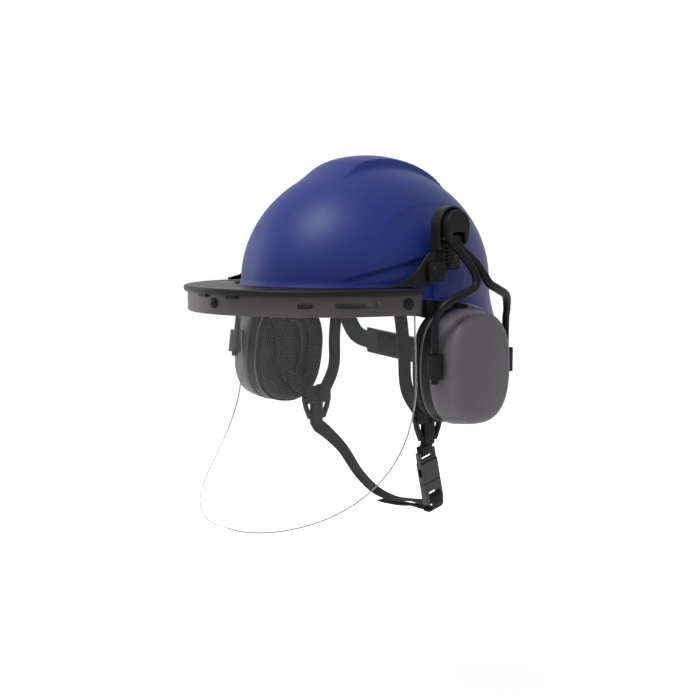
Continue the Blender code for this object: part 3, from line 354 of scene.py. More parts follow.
def paintShell():
    # matte moulded shell: a fine grain, a slow drift of shade, a little dust and a painted highlight on
    # convex edges
    look = Finish("shellBlue")
    fine = look.grain(0.55, 3.0, 0.6)
    drift = look.grain(60.0, 2.0)
    dust = look.ramp(look.grain(9.0, 5.0, 0.65), 0.52, 0.78)
    deep = look.tint(drift, (0.0034, 0.0104, 0.079), (0.0046, 0.0130, 0.094))
    color = look.tint(dust * 0.10, deep, (0.035, 0.050, 0.18))
    # paler, bluer convex edges: a painted highlight where the edges catch the light
    color = look.tint(look.edges(1.2) * 0.35, color, (0.030, 0.055, 0.24))
    rough = 0.42 + fine * 0.08 + dust * 0.05
    normal = look.bump(fine, 0.05, 0.28)
    return look.surface(Base_Color=color, Roughness=rough, Normal=normal, Specular_IOR_Level=0.16)


def paintPlastic(name, dark, pale, rough, grainSize, depth, shine=0.2):
    # moulded plastic between two shades, with a grain and paler convex edges, a painted highlight
    look = Finish(name)
    fine = look.grain(grainSize, 3.0, 0.6)
    drift = look.grain(25.0, 3.0)
    color = look.tint(drift * 0.7 + fine * 0.3, dark, pale)
    # paler convex edges: a painted highlight where the edges catch the light
    color = look.tint(look.edges(0.8) * 0.4, color, [level * 2.2 + 0.006 for level in pale])
    normal = look.bump(fine, depth, 0.35)
    rough = rough + fine * 0.10
    return look.surface(Base_Color=color, Roughness=rough, Normal=normal, Specular_IOR_Level=shine)


def paintBand():
    # dark anodised strip, brushed along its length
    look = Finish("bandMetal")
    lines = look.grain(0.30, 2.0, 0.5, (0.012, 0.012, 1))
    drift = look.grain(18.0, 3.0)
    scuffs = look.ramp(look.grain(3.0, 6.0, 0.7, (0.2, 0.2, 1)), 0.60, 0.75)
    color = look.tint(lines * 0.5 + drift * 0.5, (0.029, 0.0255, 0.0262), (0.050, 0.044, 0.045))
    rough = 0.36 + lines * 0.14 + scuffs * 0.08
    normal = look.bump(lines, 0.02, 0.35)
    return look.surface(Base_Color=color, Metallic=0.75, Roughness=rough, Normal=normal)


def paintSheet():
    # clear sheet: mostly see-through, with a thin reflection and the faintest haze
    look = Finish("clearSheet")
    clear = look.node("ShaderNodeBsdfTransparent", None, {"Color": (0.990, 0.992, 0.994, 1)})
    pale = {"Base Color": (0.85, 0.87, 0.88, 1), "Roughness": 0.06}
    gloss = look.node("ShaderNodeBsdfPrincipled", None, pale)
    facing = look.node("ShaderNodeFresnel", None, {"IOR": 1.25})
    smear = look.ramp(look.grain(30.0, 4.0, 0.6, (1, 1, 0.35)), 0.45, 0.80)
    share = facing * 0.22 + smear * 0.006 + 0.008
    mixed = look.node("ShaderNodeMixShader", None, {0: share, 1: clear, 2: gloss})
    look.node("ShaderNodeOutputMaterial", None, {"Surface": mixed})
    return look.material


def paintSheetEdge():
    # the cut edge, drawn darker than the sheet: painted shade for the light bent and reflected at the clear
    # edge
    look = Finish("clearSheetEdge")
    fine = look.grain(1.5)
    color = look.tint(fine, (0.09, 0.10, 0.10), (0.16, 0.17, 0.17))
    return look.surface(Base_Color=color, Roughness=0.25, Alpha=0.7)


def paintWebbing(name, dark, pale):
    # ribs along the strap, crossed by the finer weft
    look = Finish(name)
    along = look.attribute("along")
    across = look.attribute("across")
    ribs = look.wave(across, 1.3)
    weft = look.wave(along + across * 0.25, 0.85)
    weave = ribs * 0.6 + ribs * weft * 0.4
    fuzz = look.grain(0.4, 4.0, 0.7)
    color = look.tint(look.ramp(weave + fuzz, -0.4, 1.4), dark, pale)
    normal = look.bump(weave * 0.7 + fuzz * 0.5, 0.16, 0.8)
    return look.surface(Base_Color=color, Roughness=0.86, Normal=normal, Specular_IOR_Level=0.12,
                        Sheen_Weight=0.05, Sheen_Roughness=0.6)


def paintLeathercloth():
    # soft coated cloth with a few broad creases
    look = Finish("cushionBlack")
    fine = look.grain(2.6, 2.0, 0.45)
    creases = look.grain(11.0, 2.0, 0.5)
    color = look.tint(fine * 0.5 + creases * 0.5, (0.0070, 0.0068, 0.0072), (0.0120, 0.0117, 0.0124))
    normal = look.bump(fine * 0.15 + creases, 0.25, 0.25)
    rough = 0.56 + creases * 0.16
    return look.surface(Base_Color=color, Roughness=rough, Normal=normal, Specular_IOR_Level=0.12)


def paintFoam():
    look = Finish("foamGrey")
    cells = look.pits(2.2)
    color = look.tint(look.ramp(cells, 0.1, 0.8), (0.008, 0.008, 0.0085), (0.014, 0.014, 0.0148))
    normal = look.bump(cells, 0.06, 0.3)
    return look.surface(Base_Color=color, Roughness=0.95, Normal=normal)


def paintSteel():
    look = Finish("pinSteel")
    lines = look.grain(0.2, 2.0, 0.5, (1, 0.05, 1))
    color = look.tint(lines, (0.38, 0.38, 0.39), (0.55, 0.55, 0.56))
    return look.surface(Base_Color=color, Metallic=1.0, Roughness=0.28 + lines * 0.12)


finishes = {
    "shell_blue": paintShell(),
    "black_plastic": paintPlastic("blackPlastic", (0.0028, 0.0026, 0.0028), (0.0052, 0.0048, 0.0050),
                                  0.36, 0.5, 0.05, 0.1),
    "band_metal": paintBand(),
    "clear_sheet": paintSheet(),
    "cup_grey": paintPlastic("cupGrey", (0.050, 0.046, 0.052), (0.059, 0.055, 0.061),
                             0.44, 0.45, 0.05),
    "cushion_black": paintLeathercloth(),
    "foam_grey": paintFoam(),
    "webbing_black": paintWebbing("webbingBlack", (0.0035, 0.0032, 0.0034), (0.0120, 0.0112, 0.0115)),
    "buckle_grey": paintPlastic("buckleGrey", (0.020, 0.020, 0.0215), (0.027, 0.027, 0.029),
                                0.42, 0.5, 0.06),
    "band_grey": paintPlastic("bandGrey", (0.016, 0.016, 0.017), (0.026, 0.026, 0.028),
                              0.50, 0.6, 0.06),
    "steel": paintSteel(),
}
print("finishes made")


# shell

# heights and depths in millimetres; lines are pairs of degrees from the front and height
shell = {
    "halfWidth": 105.5, "halfLength": 126.7, "crown": 110.0, "level": 14.0, "wall": 2.6,
    "around": 220, "up": 300, "skirtSteps": 20,
    "ridgeHeight": 7.0, "ridgeHalfWidth": 29.6, "ridgeFront": -64.0, "ridgeRear": 104.0, "ridgeWall": 2.6,
    "rim": ((0, 4.0), (78, 1.5), (104, -5.0), (116, -11.0), (130, -27.0), (180, -30.0)),
    "flare": ((0, 3.0), (50, 1.0), (90, 0.0), (125, 6.0), (180, 14.0)), "rimRounding": 0.9,
    "browLine": 17.5, "browFlare": 2.2,
    # each crease drops inward at its line and fades out below it, between its front and its rear
    "creases": (
        {"line": ((36, 16.8), (44.4, 20.2), (57, 26.9), (66, 31.8), (79, 38.3), (96, 47.0)),
         "depth": 2.0, "drop": (-0.3, 1.1), "fade": (2, 13), "kept": 0.25,
         "front": (37, 52), "rear": (98, 106)},
        {"line": ((36, 14.2), (48.6, 15.9), (63.5, 18.1), (84, 22.0)),
         "depth": 0.9, "drop": (-0.3, 1.0), "fade": (1.5, 9), "kept": 0.0,
         "front": (40, 52), "rear": (84, 94)},
        {"line": ((56, 56.0), (63.3, 67.9), (68.8, 74.9), (75.7, 81.1), (83.1, 84.3), (91, 85.8),
                  (112, 84.0)),
         "depth": 1.1, "drop": (-1.0, 2.0), "fade": (4, 30), "kept": 0.0,
         "front": (57, 68), "rear": (104, 116)},
    ),
}


def crownRidge(x, y):
    # the flat raised band that runs over the crown from front to rear
    s = shell
    if not s["ridgeFront"] < y < s["ridgeRear"]:
        return 0.0
    half = s["ridgeHalfWidth"]
    edge = between(-s["ridgeWall"] / 2, s["ridgeWall"] / 2, half - abs(x))
    fade = between(0, 34, y - s["ridgeFront"]) * between(0, 48, s["ridgeRear"] - y)
    return s["ridgeHeight"] * edge * fade


def shellRecess(turned, z):
    # how far the stepped facets lie in, in front of and above the adapter
    found = 0.0
    for crease in shell["creases"]:
        below = readStops(crease["line"], turned) - z
        faded = (1 - crease["kept"]) * between(*crease["fade"], below)
        level = crease["depth"] * between(*crease["drop"], below) * (1 - faded)
        found += level * between(*crease["front"], turned) * (1 - between(*crease["rear"], turned))
    return found


def openSurface(name, bm):
    # an open surface whose faces point away from the middle of the head
    bmesh.ops.recalc_face_normals(bm, faces=bm.faces[:])
    top = max(bm.faces, key=lambda face: face.calc_center_median().z)
    if top.normal.z < 0:
        bmesh.ops.reverse_faces(bm, faces=bm.faces[:])
    return meshObject(name, bm)


def makeShell():
    # half a fine sphere, with rows of faces below it for the skirt, moved to the shell's outline
    s = shell
    bm = bmesh.new()
    bmesh.ops.create_uvsphere(bm, u_segments=s["around"], v_segments=s["up"], radius=1)
    bmesh.ops.delete(bm, geom=[v for v in bm.verts if v.co.z < -1e-4], context="VERTS")
    drop = {v: 0.0 for v in bm.verts}
    edges = [e for e in bm.edges if e.is_boundary]
    for step in range(s["skirtSteps"]):
        made = bmesh.ops.extrude_edge_only(bm, edges=edges)["geom"]
        fresh = [item for item in made if isinstance(item, bmesh.types.BMVert)]
        drop.update({vert: (step + 1) / s["skirtSteps"] for vert in fresh})
        edges = [item for item in made if isinstance(item, bmesh.types.BMEdge) and item.is_boundary]
    for vert, share in drop.items():
        x, y, up = vert.co
        turned = abs(math.degrees(math.atan2(x, -y)))
        wide = s["halfWidth"]
        length = s["halfLength"]
        if share == 0:
            z = s["level"] + s["crown"] * up
            z += crownRidge(wide * x, length * y) * up
            out = 0.0
        else:
            z = s["level"] + (softStops(s["rim"], turned, 7) - s["level"]) * share
            out = softStops(s["flare"], turned, 8) * share * share
            x, y = Vector((x, y)).normalized()
        out += s["browFlare"] * between(0, 9, s["browLine"] - z) * (1 - between(34, 56, turned))
        out -= shellRecess(turned, z)
        stretch = Vector((wide * x, length * y)) + Vector((x, y)) * out
        vert.co = Vector((stretch.x, stretch.y, z)) * mm
    made = openSurface("helmet_shell", bm)
    thickened(made, s["wall"], -1)
    rounding = made.modifiers.new("rim", "BEVEL")
    rounding.width = s["rimRounding"] * mm
    rounding.segments = 3
    rounding.limit_method = "ANGLE"
    rounding.angle_limit = math.radians(60)
    return finish(made, "shell_blue", "helmet", ("shell",), 60)


boss = {"inside": 102.0, "outside": 112.6, "bottom": 2.0, "top": 27.0, "front": -19.2, "rear": 15.2,
        "taper": 2.5, "rounding": 1.8, "slot": ((106.4, 109.6), (-15.4, 11.4), 4.6)}


def makeBosses():
    # the block on each side of the shell, with the slot that takes the adapter's blade
    b = boss
    for side, sign in sides.items():
        bm = bmesh.new()
        bmesh.ops.create_cube(bm, size=1)
        low = Vector((b["inside"], b["front"], b["bottom"])) * mm
        high = Vector((b["outside"], b["rear"], b["top"])) * mm
        for vert in bm.verts:
            vert.co = Vector(low[i] if vert.co[i] < 0 else high[i] for i in range(3))
            if vert.co.x > (low.x + high.x) / 2 and vert.co.z < (low.z + high.z) / 2:
                vert.co.x -= b["taper"] * mm
        sharp = [edge for edge in bm.edges if edge.calc_face_angle(0) > 0.3]
        bmesh.ops.bevel(bm, geom=sharp, offset=b["rounding"] * mm, offset_type="OFFSET",
                        affect="EDGES", segments=4, profile=0.5, material=-1)
        made = meshObject(f"slot_boss_{side}", bm)
        (slotLow, slotHigh), (front, rear), floor = b["slot"]
        cutter = bmesh.new()
        bmesh.ops.create_cube(cutter, size=1)
        for vert in cutter.verts:
            vert.co.x = (slotLow if vert.co.x < 0 else slotHigh) * mm
            vert.co.y = (front if vert.co.y < 0 else rear) * mm
            vert.co.z = (floor if vert.co.z < 0 else b["top"] + 4) * mm
        cutAway(made, [cutter])
        finish(made, "shell_blue", "helmet", place=Matrix.Diagonal((sign, 1, 1, 1)))


# visor

visor = {
    "centreY": -53.0, "halfLength": 127.3, "halfWidth": 122.9, "height": 19.5, "thick": 1.6,
    "slots": ((38.6, 44.7), (53.0, 70.4)), "slotHalf": 2.6, "slotRound": 1.6, "slotEnd": 1.8,
    "pinTurn": 83.3, "pinRadius": 4.4, "sidePinRadius": 5.0,
    "plateThick": 2.7, "overhang": 3.5, "lipHeight": 5.2, "lipThick": 1.6, "gap": 0.35, "shellClear": 6.0,
    "tabs": (-9.5, 8.0), "tabTurn": 5.2, "tabDrop": 2.8, "clampStart": 36.5, "clampTurn": 29.0,
    "sheetThick": 1.0, "sheetTuck": 2.0, "sheetMiddle": -60.0, "sheetBottom": -198.0,
    "sheetReach": 87.0, "sheetLean": 0.04, "sheetPower": 2.2, "edgeRadius": 0.7,
}


def bandSpot(turned, inset, z):
    # a point that many degrees from the front, measured inward from the band's outer face
    v = visor
    angle = math.radians(turned)
    x = (v["halfWidth"] - inset) * math.sin(angle)
    y = v["centreY"] - (v["halfLength"] - inset) * math.cos(angle)
    return Vector((x, y, z)) * mm


def bandOut(turned):
    angle = math.radians(turned)
    out = Vector((math.sin(angle) / visor["halfWidth"], -math.cos(angle) / visor["halfLength"], 0))
    return out.normalized()


def bandBar(bm, start, turned, steps, corners):
    # a bar bent along the band, whose corners are pairs of inset and height
    rings = []
    for step in range(steps):
        spot = start + turned * step / (steps - 1)
        rings.append([bandSpot(spot, inset, z) for inset, z in corners])
    sweep(rings, bm=bm)


def makeBand():
    # the strip, with two round-ended slots cut through each side
    v = visor
    section = roundedSection(v["height"] / 2, v["thick"] / 2, 0.5, 3)
    middle = v["thick"] / 2
    turns = [-90 + 180 * i / 150 for i in range(151)]
    rings = [[bandSpot(turned, middle - out, z) for z, out in section] for turned in turns]
    bm = sweep(rings)
    bmesh.ops.recalc_face_normals(bm, faces=bm.faces[:])
    made = meshObject("visor_band_strip", bm)
    cutters = []
    for sign in (1, -1):
        for start, end in v["slots"]:
            rings = []
            for i in range(25):
                turned = start + (end - start) * i / 24
                room = math.radians(min(turned - start, end - turned)) * v["halfWidth"]
                half = v["slotHalf"] - v["slotRound"] * (1 - min(1.0, room / v["slotEnd"])) ** 2
                corners = ((-4, -half), (-4, half), (6, half), (6, -half))
                rings.append([bandSpot(sign * turned, inset, z) for inset, z in corners])
            cutters.append(sweep(rings))
    cutAway(made, cutters)
    return finish(made, "band_metal", "visor", ("visor_band",), 35)


def makePins():
    # a rivet head outside the band, with a stem through the band and the sheet
    v = visor
    rivets = (("front", 0, v["pinRadius"]), ("left", v["pinTurn"], v["sidePinRadius"]),
              ("right", -v["pinTurn"], v["sidePinRadius"]))
    for node, turned, radius in rivets:
        profile = ((0, 3.1), (0.9, 3.0), (1.4, 2.5), (radius * 0.62, 2.35), (radius * 0.8, 2.2),
                   (radius, 1.1), (radius, 0.4), (radius - 0.3, 0.35), (2.0, 0.35), (2.0, -4.6),
                   (1.6, -4.9), (0, -4.9))
        turn = bandOut(turned).to_track_quat("Z", "Y").to_matrix().to_4x4()
        rivet = lathe(profile, Matrix.Translation(bandSpot(turned, 0, 0)) @ turn, 40)
        closedPiece(f"sheet_rivet_{node}", rivet, "black_plastic", "visor", (f"lens_pin_{node}",))


def plateInner(turned):
    # the plate's inner edge, which clears the shell as the visor flips
    length = shell["halfLength"] + visor["shellClear"]
    width = shell["halfWidth"] + visor["shellClear"]
    limit = math.degrees(math.acos(-visor["centreY"] / length))
    angle = math.radians(limit * turned / 90)
    return Vector((width * math.sin(angle), -length * math.cos(angle), 0)) * mm


def makePlate():
    v = visor
    under = v["height"] / 2 + v["gap"]
    top = under + v["plateThick"]
    lip = top - v["lipHeight"]
    edge = -v["overhang"]
    near = v["lipThick"] + edge
    # pairs of share and height from the inner edge to the outer, then of inset and height round the lip
    inner = ((0.0, under + 0.5), (0.0, top - 0.5), (0.012, top), (0.075, top), (0.10, top - 0.45),
             (0.80, top - 0.45), (0.86, top - 0.1), (0.92, top))
    outer = ((edge + 2.4, top - 0.1), (edge + 1.0, top - 0.45), (edge + 0.25, top - 1.2),
             (edge, top - 2.2), (edge + 0.15, top - 3.4), (edge + 0.5, lip + 0.3), (edge + 0.8, lip),
             (near - 0.2, lip), (near, lip + 0.2), (near, under), (near + 2, under))
    rings = []
    for turned in range(-90, 91):
        low = plateInner(turned)
        high = bandSpot(turned, edge, 0)
        ring = [low.lerp(high, share) + Vector((0, 0, z * mm)) for share, z in inner]
        ring += [bandSpot(turned, inset, z) for inset, z in outer]
        rings.append(ring)
    closedPiece("visor_brim", sweep(rings), "black_plastic", "visor", ("visor_plate",), 35)
    bm = bmesh.new()
    tabTop = lip + 1
    tabLow = lip - v["tabDrop"]
    corners = ((edge + 0.9, tabTop), (edge + 0.9, tabLow), (near + 1.0, tabLow), (near + 1.0, tabTop))
    for turned in v["tabs"]:
        bandBar(bm, turned, v["tabTurn"], 6, corners)
    closedPiece("brim_tabs", bm, "black_plastic", "visor")
    bm = bmesh.new()
    corners = ((3.4, -5), (3.4, 1.2), (4.2, 1.2), (4.2, -5))
    for sign in sides.values():
        bandBar(bm, sign * v["clampStart"], sign * v["clampTurn"], 24, corners)
    closedPiece("sheet_clamp", bm, "black_plastic", "visor")


def makeSheet():
    # the clear sheet hangs behind the band and ends in a rounded lower edge
    v = visor
    top = v["height"] / 2 - v["sheetTuck"]
    drop = v["sheetMiddle"] - v["sheetBottom"]
    rows = [top + (v["sheetMiddle"] - top) * i / 10 for i in range(11)]
    turns = (4, 8, 12, 17, 22, 27, 32, 37, 42, 47, 52, 57, 61, 65, 69, 73, 76.5, 79.5, 82, 84, 86)
    rows += [v["sheetMiddle"] - drop * math.sin(math.radians(turned)) for turned in turns]
    inset = v["thick"] + v["gap"]
    rings = []
    for z in rows:
        below = max(0.0, (v["sheetMiddle"] - z) / drop)
        reach = v["sheetReach"] * (1 - below ** v["sheetPower"]) ** (1 / v["sheetPower"])
        lean = Vector((0, (top - z) * v["sheetLean"], 0)) * mm
        rings.append([bandSpot(reach * i / 60, inset, z) + lean for i in range(-60, 61)])
    made = meshObject("face_sheet", sweep(rings, closed=False))
    thickened(made, v["sheetThick"], 1)
    finish(made, "clear_sheet", "visor", ("lens",), 60)
    makeSheetEdge([ring[0] for ring in rings] + [ring[-1] for ring in reversed(rings)])


def makeSheetEdge(outline):
    # a thin grey bead round the sheet's sides and lower edge, painted shade for the light bent and reflected
    # at the clear edge
    v = visor
    path = [spot / mm for spot in outline]
    tube = []
    for spot, along in zip(path, directions(path)):
        out = Vector((spot.x, spot.y - v["centreY"], 0)).normalized()
        across = along.cross(out).normalized()
        centre = spot - out * v["sheetThick"] / 2
        ring = roundAbout(centre, out * v["edgeRadius"], across * v["edgeRadius"], 8)
        tube.append([point * mm for point in ring])
    bm = sweep(tube)
    bmesh.ops.recalc_face_normals(bm, faces=bm.faces[:])
    made = finish(meshObject("sheet_edge", bm), "clear_sheet", "visor")
    made.data.materials.clear()
    made.data.materials.append(paintSheetEdge())


# ear muffs

muff = {
    "hub": (-8.0, 65.0), "rightSwing": 8.0, "cupY": 5.0, "cupZ": -59.0, "halfWidth": 41.0, "halfHeight": 51.5,
    "innerX": 106.3, "depth": 41.5, "rim": 10.0, "wall": 2.5, "power": 2.5,
    "fillet": 9.5, "sideInset": 2.4, "faceInset": 13.4, "faceRise": 2.6, "sealThick": 2.7, "seatGap": 0.3,
    "legRadius": 3.25, "legThicker": 0.6, "legFlatter": 0.35, "barrelX": 117.5, "barrelZ": 55.0,
    "barrelHalf": 7.2,
    "frontLeg": ((118.0, -11.6, 54.0), (121.5, -11.0, 49.0), (126.0, -7.0, 42.0), (132.0, -3.0, 33.0),
                 (138.0, -1.0, 22.0), (140.0, -4.0, 12.5), (138.5, -18.0, 6.5), (134.0, -33.5, -1.0),
                 (129.5, -40.5, -12.0), (128.0, -41.5, -26.0), (128.0, -41.5, -70.0)),
    "rearLeg": ((118.0, -4.4, 54.0), (121.5, -4.9, 49.0), (126.0, -1.2, 42.5), (132.0, 5.0, 34.0),
                (138.0, 8.5, 24.0), (140.0, 15.0, 15.0), (139.0, 28.0, 9.5), (135.5, 42.5, 3.5),
                (130.5, 50.0, -8.0), (128.0, 51.5, -22.0), (128.0, 51.5, -70.0)),
}


def muffPlace(side):
    # the right muff mirrors the left one and hangs further forward
    if sides[side] > 0:
        return Matrix.Identity(4)
    hub = Vector((0, *muff["hub"])) * mm
    swing = Matrix.Rotation(-math.radians(muff["rightSwing"]), 4, "X")
    return Matrix.Translation(hub) @ swing @ Matrix.Translation(-hub) @ Matrix.Diagonal((-1, 1, 1, 1))


def eggRing(x, inset, count=96):
    # the cup's outline, a squarish oval, drawn in by the inset
    ring = []
    for i in range(count):
        angle = 2 * math.pi * i / count
        across = math.copysign(abs(math.cos(angle)) ** (2 / muff["power"]), math.cos(angle))
        up = math.copysign(abs(math.sin(angle)) ** (2 / muff["power"]), math.sin(angle))
        y = muff["cupY"] + (muff["halfWidth"] - inset) * across
        z = muff["cupZ"] + (muff["halfHeight"] - inset) * up
        ring.append(Vector((x, y, z)) * mm)
    return ring


def makeCup(side):
    # straight sides, a round edge and a slightly domed face
    m = muff
    bottom = m["innerX"] + m["depth"] - m["faceRise"]
    rim = m["innerX"] + m["rim"]
    stations = [(rim, 0.5), (rim + 0.5, 0.1), (m["innerX"] + 18, 0.7), (m["innerX"] + 26, 1.7)]
    for i in range(13):
        angle = math.radians(7.5 * i)
        x = bottom - m["fillet"] * (1 - math.sin(angle))
        stations.append((x, m["sideInset"] + (m["faceInset"] - m["sideInset"]) * (1 - math.cos(angle))))
    for share in (0.1, 0.25, 0.42, 0.6, 0.78, 0.92):
        inset = m["faceInset"] + (m["halfWidth"] - m["faceInset"]) * share
        stations.append((bottom + m["faceRise"] * (1 - (1 - share) ** 2), inset))
    bm = sweep([eggRing(x, inset) for x, inset in stations], capped=False)
    tip = stations[-1][0] * mm
    last = [vert for vert in bm.verts if abs(vert.co.x - tip) < 1e-5]
    bmesh.ops.contextual_create(bm, geom=last)
    bmesh.ops.recalc_face_normals(bm, faces=bm.faces[:])
    made = meshObject(f"muff_cup_shell_{side}", bm)
    thickened(made, m["wall"], -1)
    applied(made)
    finish(made, "cup_grey", f"muff_cup_{side}", (f"cup_{side}",), 60, muffPlace(side))


def ringPad(side, name, low, high, inset, hole, bulge, slot, replaced, count=96):
    # a rounded ring along the cup's outline, between two X planes
    outer, inner = eggRing(0, inset, count), eggRing(0, hole, count)
    middle = (low + high) / 2
    rings = []
    for a, b in zip(outer, inner):
        ring = []
        for across, out in roundedSection(0.5, 0.5, bulge, 5):
            spot = a.lerp(b, 0.5 + across)
            spot.x = (middle + out * (high - low)) * mm
            ring.append(spot)
        rings.append(ring)
    bm = sweep([*rings, rings[0]], capped=False)
    return closedPiece(name, bm, slot, f"muff_cup_{side}", replaced, 60, muffPlace(side))


def makeYoke(side):
    # two bent wire legs, thicker and flatter near the top, and the barrel between them
    m = muff
    bm = bmesh.new()
    for route in (m["frontLeg"], m["rearLeg"]):
        path = smoothPath(route, 10)
        across = Vector((0, 1, 0.2))
        rings = []
        for spot, along in zip(path, directions(path)):
            across = (across - along * across.dot(along)).normalized()
            flat = 1 + m["legFlatter"] * between(28, 50, spot.z)
            thicker = between(-14, 4, spot.z) * (1 - between(30, 46, spot.z))
            radius = m["legRadius"] + m["legThicker"] * thicker
            ring = roundAbout(spot, across * radius * flat, along.cross(across) * radius, 20)
            rings.append([point * mm for point in ring])
        sweep(rings, bm=bm)
    half = m["barrelHalf"]
    profile = ((1.9, -half), (4.2, -half), (4.6, -half + 0.4), (4.6, half - 0.4), (4.2, half),
               (1.9, half), (1.9, -half))
    middle = Vector((m["barrelX"], m["hub"][0], m["barrelZ"])) * mm
    place = Matrix.Translation(middle) @ Matrix.Rotation(math.pi / 2, 4, "X")
    barrel = bpy.data.meshes.new("barrel")
    lathe(profile, place, 40).to_mesh(barrel)
    bm.from_mesh(barrel)
    closedPiece(f"muff_yoke_frame_{side}", bm, "black_plastic", f"muff_yoke_{side}", (f"yoke_{side}",), 50,
                muffPlace(side))


def makeMuff(side):
    m = muff
    makeCup(side)
    seat = m["innerX"] - m["seatGap"]
    plate = seat - m["sealThick"]
    ringPad(side, f"cup_seal_plate_{side}", plate, seat, 1.0, 22.0, 0.12, "cup_grey",
            (f"cup_seat_{side}",))
    ringPad(side, f"cup_rim_{side}", seat + 0.05, m["innerX"] + m["rim"] + 0.3, 0.9, 4.5, 0.1,
            "black_plastic", ())
    makeCushion(side, plate - 0.35)
    makeFoam(side)
    makeYoke(side)
    moulded(f"muff_hub_drum_{side}", f"hub_{side}", "black_plastic", f"muff_hub_{side}", 0.45, 5)
    closedPiece(f"yoke_hinge_pin_{side}", copyOf(f"yoke_pin_{side}"), "steel", f"muff_hub_{side}",
                (f"yoke_pin_{side}",), 30)
    for where in ("front", "rear"):
        moulded(f"muff_lug_{where}_{side}", f"lug_{where}_{side}", "black_plastic",
                f"muff_lugs_{side}", 0.35, 5)


cushion = {"depth": 14.4, "hole": 22.0, "inset": 1.2, "bulge": 0.42, "welt": 0.9, "weltDown": 1.6,
           "voxel": 2.0, "pressure": 4.0, "cap": 1.6}


def makeCushion(side, high):
    # a ring pad under the cup's seal plate, with a welt round its outer edge
    c = cushion
    low = high - c["depth"]
    made = ringPad(side, f"ear_cushion_{side}", low + 0.9, high - 0.5, c["inset"] + 1, c["hole"] - 1,
                   c["bulge"], "cushion_black", (f"cushion_{side}",))
    inflate(made, c["voxel"], c["pressure"], c["cap"])
    centre = Vector((0, muff["cupY"], muff["cupZ"])) * mm
    seam = []
    for spot in eggRing(high - c["weltDown"], c["inset"] - 0.2):
        out = spot - centre
        out.x = 0
        out.normalize()
        radius = c["welt"] * mm
        seam.append(roundAbout(spot, out * radius, Vector((radius, 0, 0)), 10))
    bm = sweep([*seam, seam[0]], capped=False)
    closedPiece(f"cushion_welt_{side}", bm, "cushion_black", f"muff_cup_{side}", (), 60, muffPlace(side))


def inflate(made, voxel, pressure, cap):
    # swells a pad with cloth under pressure, no point moving further than the cap
    materials = list(made.data.materials)
    remeshed(made, voxel, 3)
    start = [v.co.copy() for v in made.data.vertices]
    cloth = made.modifiers.new("cloth", "CLOTH")
    cloth.settings.use_pressure = True
    cloth.settings.uniform_pressure_force = pressure
    cloth.settings.effector_weights.gravity = 0
    cloth.settings.quality = 5
    for number in range(1, 21):
        bpy.context.scene.frame_set(number)
    applied(made)
    bpy.context.scene.frame_set(1)
    for vert, place in zip(made.data.vertices, start):
        move = vert.co - place
        if move.length > cap * mm:
            vert.co = place + move.normalized() * cap * mm
    made.data.materials.clear()
    for material in materials:
        made.data.materials.append(material)
    made.data.shade_smooth()
    smoother = made.modifiers.new("smooth", "SUBSURF")
    smoother.levels = 1
    smoother.render_levels = 1
    return made


def makeFoam(side):
    # the liner in the cup, seen through the cushion's hole
    low = muff["innerX"] + 2.0
    stations = ((low + 20, 12.5), (low + 1.5, 12.5), (low + 0.3, 13.2), (low, 15.0),
                (low - 0.4, 24.0), (low - 0.8, 34.0))
    bm = sweep([eggRing(x, inset, 72) for x, inset in stations])
    closedPiece(f"cup_foam_{side}", bm, "foam_grey", f"muff_cup_{side}", (f"foam_{side}",), 60,
                muffPlace(side))


# adapters

adapter = {"armInside": 112.1, "armTaper": 0.55, "taperStart": 46.0, "taperEnd": 77.0,
           "ribs": 5, "ribPlace": (111.0, -3.0, 32.0), "ribSize": (2.4, 13.0, 1.3), "ribPitch": 3.4,
           "ribRounding": 0.35}


def makeAdapter(side):
    # the adapter with its pivot block and grip ribs, and the visor's arm, thinner toward its front tip
    a = adapter
    sign = sides[side]
    moulded(f"slot_adapter_{side}", f"adapter_{side}", "black_plastic", "helmet", 0.5, 4)
    moulded(f"visor_pivot_block_{side}", f"visor_pivot_{side}", "black_plastic", "helmet", 0.4, 4)
    arm = moulded(f"visor_side_arm_{side}", f"visor_arm_{side}", "black_plastic", "visor", 0.45, 4)
    inside = a["armInside"] * mm
    for vert in arm.data.vertices:
        thinner = 1 - a["armTaper"] * between(a["taperStart"], a["taperEnd"], -vert.co.y / mm)
        vert.co.x = sign * (inside + (abs(vert.co.x) - inside) * thinner)
    bm = bmesh.new()
    x, y, z = a["ribPlace"]
    wide, long, high = a["ribSize"]
    for row in range(a["ribs"]):
        level = z + row * a["ribPitch"]
        for vert in bmesh.ops.create_cube(bm, size=1)["verts"]:
            vert.co = Vector((x + vert.co.x * wide, y + vert.co.y * long, level + vert.co.z * high)) * mm
    bmesh.ops.bevel(bm, geom=bm.edges[:], offset=a["ribRounding"] * mm, offset_type="OFFSET",
                    affect="EDGES", segments=2, profile=0.5, material=-1)
    closedPiece(f"adapter_ribs_{side}", bm, "black_plastic", "helmet", (), 40,
                Matrix.Diagonal((sign, 1, 1, 1)))


# suspension

def makeSuspension():
    softened("headband_strip", "headband", "band_grey", "helmet", 0.4)
    softened("nape_tray", "nape_housing", "band_grey", "nape", 0.4)
    softened("nape_back_cover", "nape_cover", "band_grey", "nape", 0.5)
    for side in sides:
        softened(f"nape_side_arm_{side}", f"nape_arm_{side}", "band_grey", "nape", 0.35)
        for where in ("front", "rear"):
            node = f"suspension_key_{where}_{side}"
            moulded(f"cradle_key_{where}_{side}", node, "band_grey", "helmet", 0.6, 3)
    softened("ratchet_dial", "ratchet_knob", "black_plastic", "ratchet", 0.5, 30)
    closedPiece("ratchet_gear", copyOf("ratchet_pinion"), "black_plastic", "ratchet", ("ratchet_pinion",), 30)
    for name, node, body in (("brow_cushion", "brow_pad", "helmet"), ("nape_cushion", "nape_pad", "nape")):
        made = closedPiece(name, copyOf(node), "cushion_black", body, (node,), 60)
        inflate(made, 2.0, 3.0, 0.9)


# webbing

